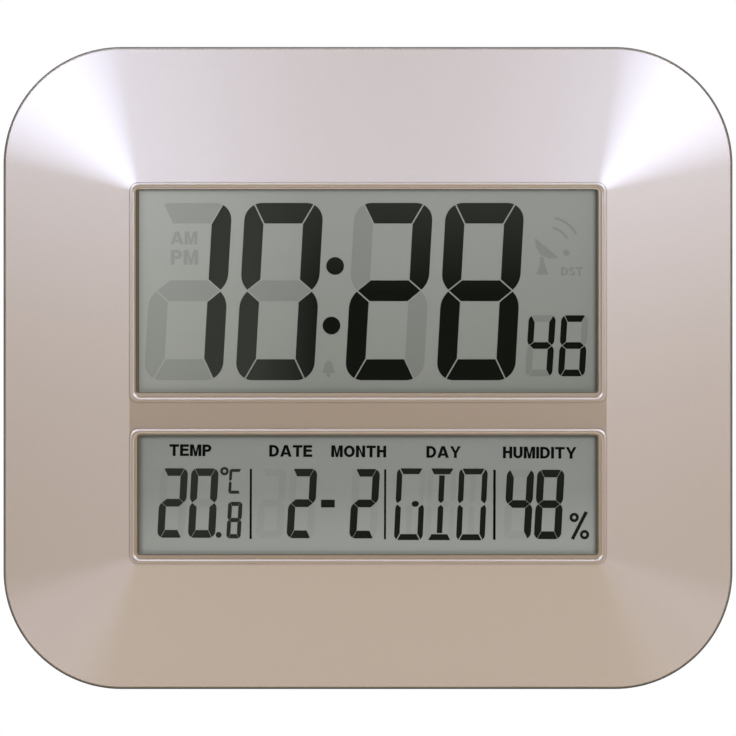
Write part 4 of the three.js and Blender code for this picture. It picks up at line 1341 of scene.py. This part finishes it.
def washer(x, z, outer, inner, window, front, angle):
    """A flat ring on a display."""
    (x, z), = turned([(x, z)], angle)
    profile = ((outer, FILM_GAP), (outer, front), (inner, front), (inner, FILM_GAP))
    return hoop([(disc(radius, x, z), window.face + depth) for radius, depth in profile])


def stroke(start, end, width):
    """Outline of a straight line of the given width."""
    length = math.hypot(end[0] - start[0], end[1] - start[1])
    across_x = (end[1] - start[1]) / length * width / 2
    across_z = (start[0] - end[0]) / length * width / 2
    first = [(start[0] + across_x, start[1] + across_z), (end[0] + across_x, end[1] + across_z)]
    return first + [(end[0] - across_x, end[1] - across_z), (start[0] - across_x, start[1] - across_z)]


# Bold capitals as outlines, one unit high from their lower left corner
STEM = 0.255
ARM = 0.21
LETTER_BAR = 0.43
LETTER_SPACE = 0.09
BOWL_STEPS = 10


def mirrored(points, width):
    return [(width - x, z) for x, z in points]


def swept(x, z, reach_x, reach_z, start, end):
    """Points on an oval round (x, z)."""
    return [(x + reach_x * math.cos(a), z + reach_z * math.sin(a)) for a in arc(start, end, BOWL_STEPS)]


def crescent(x, z, reach_x, reach_z, start, end):
    """Part of an oval ring round (x, z), as broad as the letters' strokes."""
    inner = swept(x, z, reach_x - STEM, reach_z - ARM, end, start)
    return swept(x, z, reach_x, reach_z, start, end) + inner


def bowl(left, middle, right, bottom, top):
    """Half of an oval ring that opens to the left, with straight ends from left to middle."""
    z = (bottom + top) / 2
    tall = (top - bottom) / 2
    outer = swept(middle, z, right - middle, tall, -90, 90)
    inner = swept(middle, z, right - middle - STEM, tall - ARM, 90, -90)
    return [(left, bottom), *outer, (left, top), (left, top - ARM), *inner, (left, bottom + ARM)]


def upright(left):
    """A stem of full height."""
    return slab(left, left + STEM, 0, 1)


def letter_a(width):
    half = width / 2
    leg = [(0, 0), (0.26, 0), (half, 0.72), (half, 1), (0.35, 1)]
    return [leg, mirrored(leg, width), [(0.32, 0.18), (0.68, 0.18), (0.61, 0.37), (0.39, 0.37)]]


def letter_d(width):
    return [upright(0), bowl(STEM, 0.36, width, 0, 1)]


def letter_e(width):
    middle = slab(STEM, 0.71, LETTER_BAR, LETTER_BAR + ARM)
    return [upright(0), slab(STEM, width, 0, ARM), middle, slab(STEM, 0.75, 1 - ARM, 1)]


def letter_h(width):
    right = width - STEM
    return [upright(0), slab(STEM, right, LETTER_BAR, LETTER_BAR + ARM), upright(right)]


def letter_i(width):
    return [slab(0, width, 0, 1)]


def letter_m(width):
    half = width / 2
    slope = [(STEM, 1), (STEM, 0.7), (0.385, 0), (half, 0), (half, 0.34), (0.32, 1)]
    return [upright(0), slope, mirrored(slope, width), upright(width - STEM)]


def letter_n(width):
    right = width - STEM
    return [upright(0), [(STEM, 1), (STEM, 0.66), (right, 0), (right, 0.34)], upright(right)]


def letter_o(width):
    right = bowl(width / 2, width / 2, width, 0, 1)
    return [right, mirrored(right, width)]


def letter_p(width):
    return [upright(0), bowl(STEM, 0.44, width, 0.37, 1)]


def letter_s(width):
    half = width / 2
    return [crescent(half, 0.72, 0.37, 0.28, 20, 270), crescent(half, 0.27, half, 0.27, -160, 90)]


def letter_t(width):
    left = (width - STEM) / 2
    return [slab(0, width, 1 - ARM, 1), slab(left, left + STEM, 0, 1 - ARM)]


def letter_u(width):
    half = width / 2
    outer = swept(half, 0.36, half, 0.36, 180, 360)
    inner = swept(half, 0.36, half - STEM, 0.36 - ARM, 360, 180)
    return [[(0, 1), *outer, (width, 1), (width - STEM, 1), *inner, (STEM, 1)]]


def letter_y(width):
    half = width / 2
    left = half - STEM / 2
    arm = [(0, 1), (left, 0.4), (half, 0.4), (half, 0.6), (0.25, 1)]
    return [arm, mirrored(arm, width), slab(left, left + STEM, 0, 0.4)]


# Each capital's width, and the function that draws it
CAPITALS = {
    "A": (1.0, letter_a),
    "D": (0.84, letter_d),
    "E": (0.76, letter_e),
    "H": (0.8, letter_h),
    "I": (STEM, letter_i),
    "M": (0.98, letter_m),
    "N": (0.8, letter_n),
    "O": (0.95, letter_o),
    "P": (0.77, letter_p),
    "S": (0.76, letter_s),
    "T": (0.82, letter_t),
    "U": (0.8, letter_u),
    "Y": (0.93, letter_y),
}


def word_shapes(word, x, z, height):
    """Outlines of a word round (x, z)."""
    width = sum(CAPITALS[letter][0] for letter in word) + LETTER_SPACE * (len(word) - 1)
    shapes = []
    start = -width / 2
    for letter in word:
        wide, drawn = CAPITALS[letter]
        for part in drawn(wide):
            shapes.append([(x + (start + px) * height, z + (pz - 0.5) * height) for px, pz in part])
        start += wide + LETTER_SPACE
    return shapes


def sign_shapes():
    """Outlines of the signs that are off."""
    shapes = [shape for word, x, z, height in SIGN_WORDS for shape in word_shapes(word, x, z, height)]
    shapes += [MAST, DISH, disc(DISH_FOCUS_RADIUS, *DISH_FOCUS)]
    for reach in WAVES:
        outer = swept(*WAVE_CENTRE, reach + WAVE_WIDTH / 2, reach + WAVE_WIDTH / 2, *WAVE_TURN)
        inner = swept(*WAVE_CENTRE, reach - WAVE_WIDTH / 2, reach - WAVE_WIDTH / 2, *reversed(WAVE_TURN))
        shapes.append(outer + inner)
    x, z = BELL
    width, height = BELL_SIZE
    dome = swept(x, z, BELL_DOME[0] * width, BELL_DOME[1] * height, 0, 180)
    shapes.append([*dome, (x - width / 2, z - height / 2), (x + width / 2, z - height / 2)])
    shapes.append(disc(CLAPPER_RADIUS, x, z - CLAPPER_DROP))
    return shapes


# Colours and levels
PAINT = rgb(129, 107, 73)
PAINT_DARK = rgb(127, 105, 71)
PAINT_LIGHT = rgb(131, 109, 75)
PAINT_ROUGHNESS = 0.24
PAINT_SHEEN = 0.75
PAINT_SHEEN_TINT = (0.72, 0.76, 1.0, 1.0)
FLAKE = 0.35
DISPLAY_SHEEN = 0.02
DISPLAY_ROUGHNESS = 0.2
# Where the films' painted side light starts, and how far and how dark their painted edge shade reaches
SIDE_START = 20.0
SHADE_REACH = 1.8
EDGE_SHADE_TONE = rgb(52, 48, 40)
UPPER_GHOST = 0.8
LOWER_GHOST = 0.93


def display_light(top, bottom, left=1.0, right=1.0, reach=1.0, shades=(0, 0, 0, 0)):
    """Painted light on a display: its tones at head and foot, levels at its sides, the share of its
    height that the foot's tone fades over, and how much painted shade each edge takes: left, right, foot
    and head."""
    return SimpleNamespace(top=top, bottom=bottom, left=left, right=right, reach=reach, shades=shades)


# Painted light and painted shade on the two films
UPPER_SHADES = (0.1, 0.55, 0.15, 0.0)
LOWER_SHADES = (0.6, 0.5, 0.3, 0.0)
UPPER_LIGHT = display_light(rgb(145, 147, 143), rgb(129, 131, 125), 1.34, 0.92, shades=UPPER_SHADES)
LOWER_LIGHT = display_light(rgb(131, 134, 129), rgb(150, 152, 147), reach=0.55, shades=LOWER_SHADES)
INK_SIDE_START = -15.0
INK_SIDE_END = -40.0
UPPER_INK = SimpleNamespace(head=rgb(47, 49, 45), dark=rgb(19, 21, 17), side=rgb(52, 54, 50))
LOWER_INK = SimpleNamespace(head=rgb(36, 38, 34), dark=rgb(27, 29, 25), side=rgb(42, 44, 40))
# The print fades a little towards its foot: painted light, as on the films
PRINT = display_light(rgb(10, 10, 9), rgb(8, 8, 7))
BAND_EDGE = 0.1
LEAD_GRAIN = {"grain": 0.6, "depth": 0.004}
SHADE_STRIP_GRAIN = {"grain": 0.6, "depth": 0.005, "sheen": 0.1}


def two_tone_cell(name, cell, side):
    """A cell's printed jacket: plain blue, with a pale band at its nub end."""
    finish = Finish(name, rgb(52, 86, 124), roughness=0.32, values={"Metallic": 0.35})
    start = cell.right - BAND_LENGTH if side > 0 else cell.left + BAND_LENGTH
    band = finish.along("X", start - side * BAND_EDGE, start + side * BAND_EDGE)
    streaks = finish.noise(grain=0.6, stretch=(8, 1, 1))
    blue = finish.blended(streaks, rgb(48, 80, 116), rgb(56, 92, 132))
    pale = finish.blended(streaks, rgb(186, 188, 188), rgb(200, 202, 202))
    finish.colour(finish.mixed(band, blue, pale))
    return finish.roughness(streaks, low=0.26, high=0.4).material


def laminate():
    """Circuit board: green lacquer over paler copper tracks."""
    finish = Finish("board_laminate", rgb(38, 82, 52), roughness=0.4)
    tracks = finish.stripes(pitch=2.5, direction="Z")
    weave = finish.noise(grain=0.8, detail=2)
    green = finish.blended(weave, rgb(32, 72, 46), rgb(42, 88, 56))
    copper_share = finish.spread(tracks, low=0, high=0.6, start=0.7, end=0.75)
    finish.colour(finish.mixed(copper_share, green, rgb(70, 120, 74)))
    return finish.relief(tracks, depth=0.02).material


def clear_glass():
    """Display glass with a faint green tint."""
    clear = {"Transmission Weight": 0.9, "IOR": 1.52}
    finish = Finish("display_glass", rgb(214, 224, 218), roughness=0.08, values=clear)
    haze = finish.noise(grain=12, detail=2)
    return finish.roughness(haze, low=0.05, high=0.12).material


paint = champagne_paint()
cover_plastic = moulded("cover_plastic", rgb(44, 43, 41), rgb(52, 50, 48), 0.55)
button_plastic = moulded("button_plastic", rgb(70, 68, 66), rgb(80, 78, 75), 0.5, grain=0.3, depth=0.01)
holder_plastic = moulded("holder_plastic", rgb(204, 201, 192), rgb(220, 217, 208), 0.55)
black_resin = moulded("black_resin", rgb(18, 18, 18), rgb(28, 28, 28), 0.35, grain=1.2, depth=0.03)
ferrite = moulded("ferrite", rgb(44, 41, 39), rgb(60, 56, 53), 0.7, grain=0.3)
red_insulation = moulded("red_insulation", rgb(160, 34, 26), rgb(182, 44, 34), 0.45, **LEAD_GRAIN)
black_insulation = moulded("black_insulation", rgb(24, 24, 24), rgb(34, 34, 34), 0.45, **LEAD_GRAIN)
# Painted shade: the dark strips' colour stands for the shaded gap round the windows
shade_strip_rubber = moulded("shade_strip_rubber", rgb(80, 74, 61), rgb(88, 81, 67), 0.9, **SHADE_STRIP_GRAIN)
steel = metal("bright_steel", rgb(196, 196, 192), 0.28)
silver_film = metal("reflector_film", rgb(188, 191, 187), 0.35, grain=0.4, stretch=(10, 1, 1))
winding = {"pitch": 0.35, "roughness": 0.35, "depth": 0.08, "values": {"Metallic": 0.9}}
layers = {"pitch": 0.4, "roughness": 0.7, "depth": 0.01}
copper = striped("copper_winding", rgb(150, 86, 44), rgb(196, 126, 70), **winding)
rubber = striped("contact_rubber", rgb(36, 36, 36), rgb(96, 94, 90), **layers)
board = laminate()
glass = clear_glass()
films = {
    "upper": display_tone("upper_display_film", UPPER_LIGHT, UPPER),
    "lower": display_tone("lower_display_film", LOWER_LIGHT, LOWER),
}
ghosts = {
    "upper": display_tone("upper_ghost", UPPER_LIGHT, UPPER, UPPER_GHOST),
    "lower": display_tone("lower_ghost", LOWER_LIGHT, LOWER, LOWER_GHOST),
}
inks = {
    "upper": ink_tone("upper_ink", UPPER_INK, UPPER),
    "lower": ink_tone("lower_ink", LOWER_INK, LOWER),
}
label_print = display_tone("label_print", PRINT, LOWER)

# CAD pieces that keep their shape
kept = {
    "display_holder": holder_plastic,
    "circuit_board": board,
    "sensor_board": board,
    "driver_chip": black_resin,
    "capacitor": black_resin,
    "quartz_crystal": steel,
    "buzzer": black_resin,
    "climate_sensor": holder_plastic,
    "antenna_rod": ferrite,
    "antenna_coil": copper,
    "plus_battery_lead": red_insulation,
    "minus_battery_lead": black_insulation,
    "bridge_contact_plate": steel,
    "plus_contact_plate": steel,
    "minus_contact_plate": steel,
}
for side in ("upper", "lower"):
    kept[side + "_display_front_polariser"] = films[side]
    kept[side + "_display_front_glass"] = glass
    kept[side + "_display_rear_glass"] = glass
    kept[side + "_display_reflector"] = silver_film
    kept[side + "_display_contact_strip"] = rubber
for name in BUTTONS:
    kept[name + "_switch_plunger"] = button_plastic
    kept[name + "_switch_housing"] = black_resin
for node in BOARD_SCREWS:
    kept[node] = steel
for node, finish in kept.items():
    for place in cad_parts[node].material_slots:
        place.material = finish

# Pieces modelled here in place of CAD nodes
dressed(bezel(), "bezel_shell", paint, instead_of=["front_bezel"])
dressed(rear_cover(), "cover_shell", cover_plastic, instead_of=["rear_cover"])
dressed(battery_door(), "door_panel", cover_plastic, "door", ["battery_door"])
dressed(table_stand(), "stand_leg", cover_plastic, "stand", ["table_stand"])
for name in BUTTONS:
    cap = push_button(name)
    dressed(cap, name + "_cap", button_plastic, name + "_key", [name + "_button"])
for node in CASE_SCREWS:
    dressed(case_screw(node), node + "_detail", steel, instead_of=[node])
for row, side in (("upper", 1), ("lower", -1)):
    node = row + "_cell"
    middle = node_box(node)
    jacket = two_tone_cell(row + "_cell_jacket", middle, side)
    cell = dressed(battery_cell(node, side), node + "_detail", jacket, instead_of=[node])
    cell.data.materials.append(steel)
    for face in cell.data.polygons:
        depth = -face.center.y / MM
        z = face.center.z / MM - CASE_Z
        bare = math.hypot(depth - middle.depth, z - middle.z) < END_RADIUS
        face.material_index = 1 if bare else 0
    node = row + "_battery_spring"
    dressed(battery_spring(node, side), node + "_wound", steel, instead_of=[node])

# Marks on the displays
lit, unlit = characters(TIME_CHARACTERS)
lit += [disc(COLON_RADIUS, x, z) for x, z in COLON]
dressed(marks(lit, UPPER, MARK_FRONT), "time_digits", inks["upper"])
dressed(marks(unlit, UPPER, GHOST_FRONT), "time_ghosts", ghosts["upper"])
signs = marks(sign_shapes(), UPPER, GHOST_FRONT)
dressed(signs, "unlit_signs", ghosts["upper"])

lit, unlit = characters(READING_CHARACTERS)
lit.append(disc(POINT_RADIUS, *POINT))
lit.append(outline(*DASH_SIZE, SEAM, *DASH))
lit.append(stroke(*PERCENT_BAR, PERCENT_WIDTH))
readings = [marks(lit, LOWER, MARK_FRONT, LOWER_TURN)]
readings.append(washer(*DEGREE, *DEGREE_RADII, LOWER, MARK_FRONT, LOWER_TURN))
readings += [washer(*place, *PERCENT_RADII, LOWER, MARK_FRONT, LOWER_TURN) for place in PERCENT_RINGS]
dressed(joined(readings), "reading_digits", inks["lower"])
quiet = marks(unlit, LOWER, GHOST_FRONT, LOWER_TURN)
dressed(quiet, "reading_ghosts", ghosts["lower"])
words = [shape for word, x in LABELS for shape in word_shapes(word, x, LABEL_Z, LABEL_HEIGHT)]
printed = [marks(words, LOWER, MARK_FRONT, LABEL_TURN)]
rules = [outline(width, RULE_HEIGHT, SEAM, x, RULE_Z) for x, width in RULES]
printed.append(marks(rules, LOWER, MARK_FRONT, LOWER_TURN))
dressed(joined(printed), "reading_labels", label_print)
# Dark strips of painted shade in the gaps round both windows
for window, reaches, row in ((UPPER, UPPER_SHADE_STRIP, "upper"), (LOWER, LOWER_SHADE_STRIP, "lower")):
    dressed(window_shade_strip(window, reaches), row + "_window_shade_strip", shade_strip_rubber)


# Stage: pale floor, white surroundings, a soft key light and a ring of softboxes that the slopes reflect
FLOOR_DROP = 0.7
FLOOR_SIZE = 8.0
CARD_SIZE = 2.4
CARD_GAP = 0.3
WORLD_LEVEL = 0.45
CAMERA_DISTANCE = 6.0
FRAME_WIDTH = 0.2625
SENSOR = 36.0
WHITE = (1.0, 1.0, 1.0)
COOL = (0.93, 0.99, 1.0)
WARM = (1.0, 0.94, 0.76)

# Lights as (name, place in metres from the case's centre, width, height, watts, colour, faces they reach)
LIGHTS = (
    ("key_light", (0.5, -1.7, 0.6), 0.9, 0.9, 20.0, WHITE, "matt"),
    ("back_light", (-0.5, 1.6, 0.9), 1.2, 1.2, 30.0, WHITE, "all"),
    ("left_softbox", (-0.49, -1.2, 0.0), 0.3, 0.8, 2.1, WARM, "glossy"),
    ("right_softbox", (0.49, -1.2, 0.0), 0.3, 0.8, 1.7, WARM, "glossy"),
    ("low_softbox", (0.0, -1.2, -0.53), 0.8, 0.3, 4.8, WARM, "glossy"),
    ("left_corner_softbox", (-0.32, -1.2, 0.39), 0.3, 0.3, 2.5, COOL, "glossy"),
    ("right_corner_softbox", (0.34, -1.2, 0.36), 0.3, 0.3, 2.4, COOL, "glossy"),
    ("left_glow_softbox", (-0.36, -1.2, 0.37), 0.6, 0.56, 15.6, COOL, "glossy"),
    ("right_glow_softbox", (0.38, -1.2, 0.35), 0.6, 0.56, 15.4, COOL, "glossy"),
    ("left_low_softbox", (-0.37, -1.2, -0.33), 0.36, 0.36, 1.8, WHITE, "glossy"),
    ("right_low_softbox", (0.4, -1.2, -0.3), 0.36, 0.36, 1.8, WHITE, "glossy"),
    ("overhead_softbox", (0.0, -0.3, 1.0), 1.2, 0.5, 11.0, WHITE, "glossy"),
    ("left_view_softbox", (-0.68, -0.76, -0.44), 0.8, 0.6, 4.0, WARM, "glossy"),
    ("right_view_softbox", (0.68, -0.76, -0.44), 0.8, 0.6, 4.0, WARM, "glossy"),
)


def sheet(name, corners, finish):
    """A flat piece of the studio."""
    mesh = bpy.data.meshes.new(name)
    mesh.from_pydata(corners, [], [(0, 1, 2, 3)])
    mesh.materials.append(finish.material)
    made = linked(name, mesh)
    return made


def pale_floor():
    half = FLOOR_SIZE / 2
    z = cad_low.z - FLOOR_DROP
    corners = [(x, y, z) for x, y in slab(-half, half, -half, half)]
    sheet("floor", corners, Finish("pale_floor", rgb(236, 235, 232), roughness=0.8))


def dark_card():
    """Dark card behind the camera, which only the faces square to it reflect."""
    half = CARD_SIZE / 2
    y = -CAMERA_DISTANCE - CARD_GAP
    middle = CASE_Z * MM
    corners = [(x, y, z) for x, z in slab(-half, half, middle - half, middle + half)]
    card = sheet("dark_card", corners, Finish("dark_card", rgb(24, 24, 24), roughness=0.9))
    card.visible_camera = False
    card.visible_diffuse = False
    card.visible_shadow = False


def white_world():
    world = bpy.data.worlds.new("surroundings")
    bpy.context.scene.world = world
    world.use_nodes = True
    tree = world.node_tree
    light = tree.nodes["Background"]
    light.inputs["Color"].default_value = (*WHITE, 1.0)
    light.inputs["Strength"].default_value = WORLD_LEVEL
    white = tree.nodes.new("ShaderNodeBackground")
    white.inputs["Color"].default_value = (*WHITE, 1.0)
    white.inputs["Strength"].default_value = 1.0
    path = tree.nodes.new("ShaderNodeLightPath")
    seen = path.outputs["Is Camera Ray"]
    for kind in ("Is Glossy Ray", "Is Transmission Ray"):
        either = tree.nodes.new("ShaderNodeMath")
        either.operation = "MAXIMUM"
        tree.links.new(seen, either.inputs[0])
        tree.links.new(path.outputs[kind], either.inputs[1])
        seen = either.outputs[0]
    mix = tree.nodes.new("ShaderNodeMixShader")
    tree.links.new(seen, mix.inputs[0])
    tree.links.new(light.outputs[0], mix.inputs[1])
    tree.links.new(white.outputs[0], mix.inputs[2])
    tree.links.new(mix.outputs[0], tree.nodes["World Output"].inputs["Surface"])


def area_light(name, place, width, height, power, colour, faces):
    """A soft light turned towards the case's centre."""
    lamp = bpy.data.lights.new(name, "AREA")
    lamp.shape = "RECTANGLE"
    lamp.size = width
    lamp.size_y = height
    lamp.energy = power
    lamp.color = colour
    holder = linked(name, lamp)
    holder.location = Vector(place) + Vector((0, 0, CASE_Z * MM))
    holder.rotation_euler = (-Vector(place)).to_track_quat("-Z", "Y").to_euler()
    holder.visible_camera = False
    holder.visible_diffuse = faces != "glossy"
    holder.visible_glossy = faces != "matt"


def front_camera():
    """Long lens straight at the case's centre."""
    data = bpy.data.cameras.new("camera")
    data.sensor_width = SENSOR
    data.lens = SENSOR * (CAMERA_DISTANCE - RIM_FRONT * MM) / FRAME_WIDTH
    camera = linked("camera", data)
    camera.location = (0, -CAMERA_DISTANCE, CASE_Z * MM)
    camera.rotation_euler = (math.pi / 2, 0, 0)
    bpy.context.scene.camera = camera


pale_floor()
dark_card()
white_world()
for light in LIGHTS:
    area_light(*light)
front_camera()
bpy.context.scene.view_settings.view_transform = "Standard"
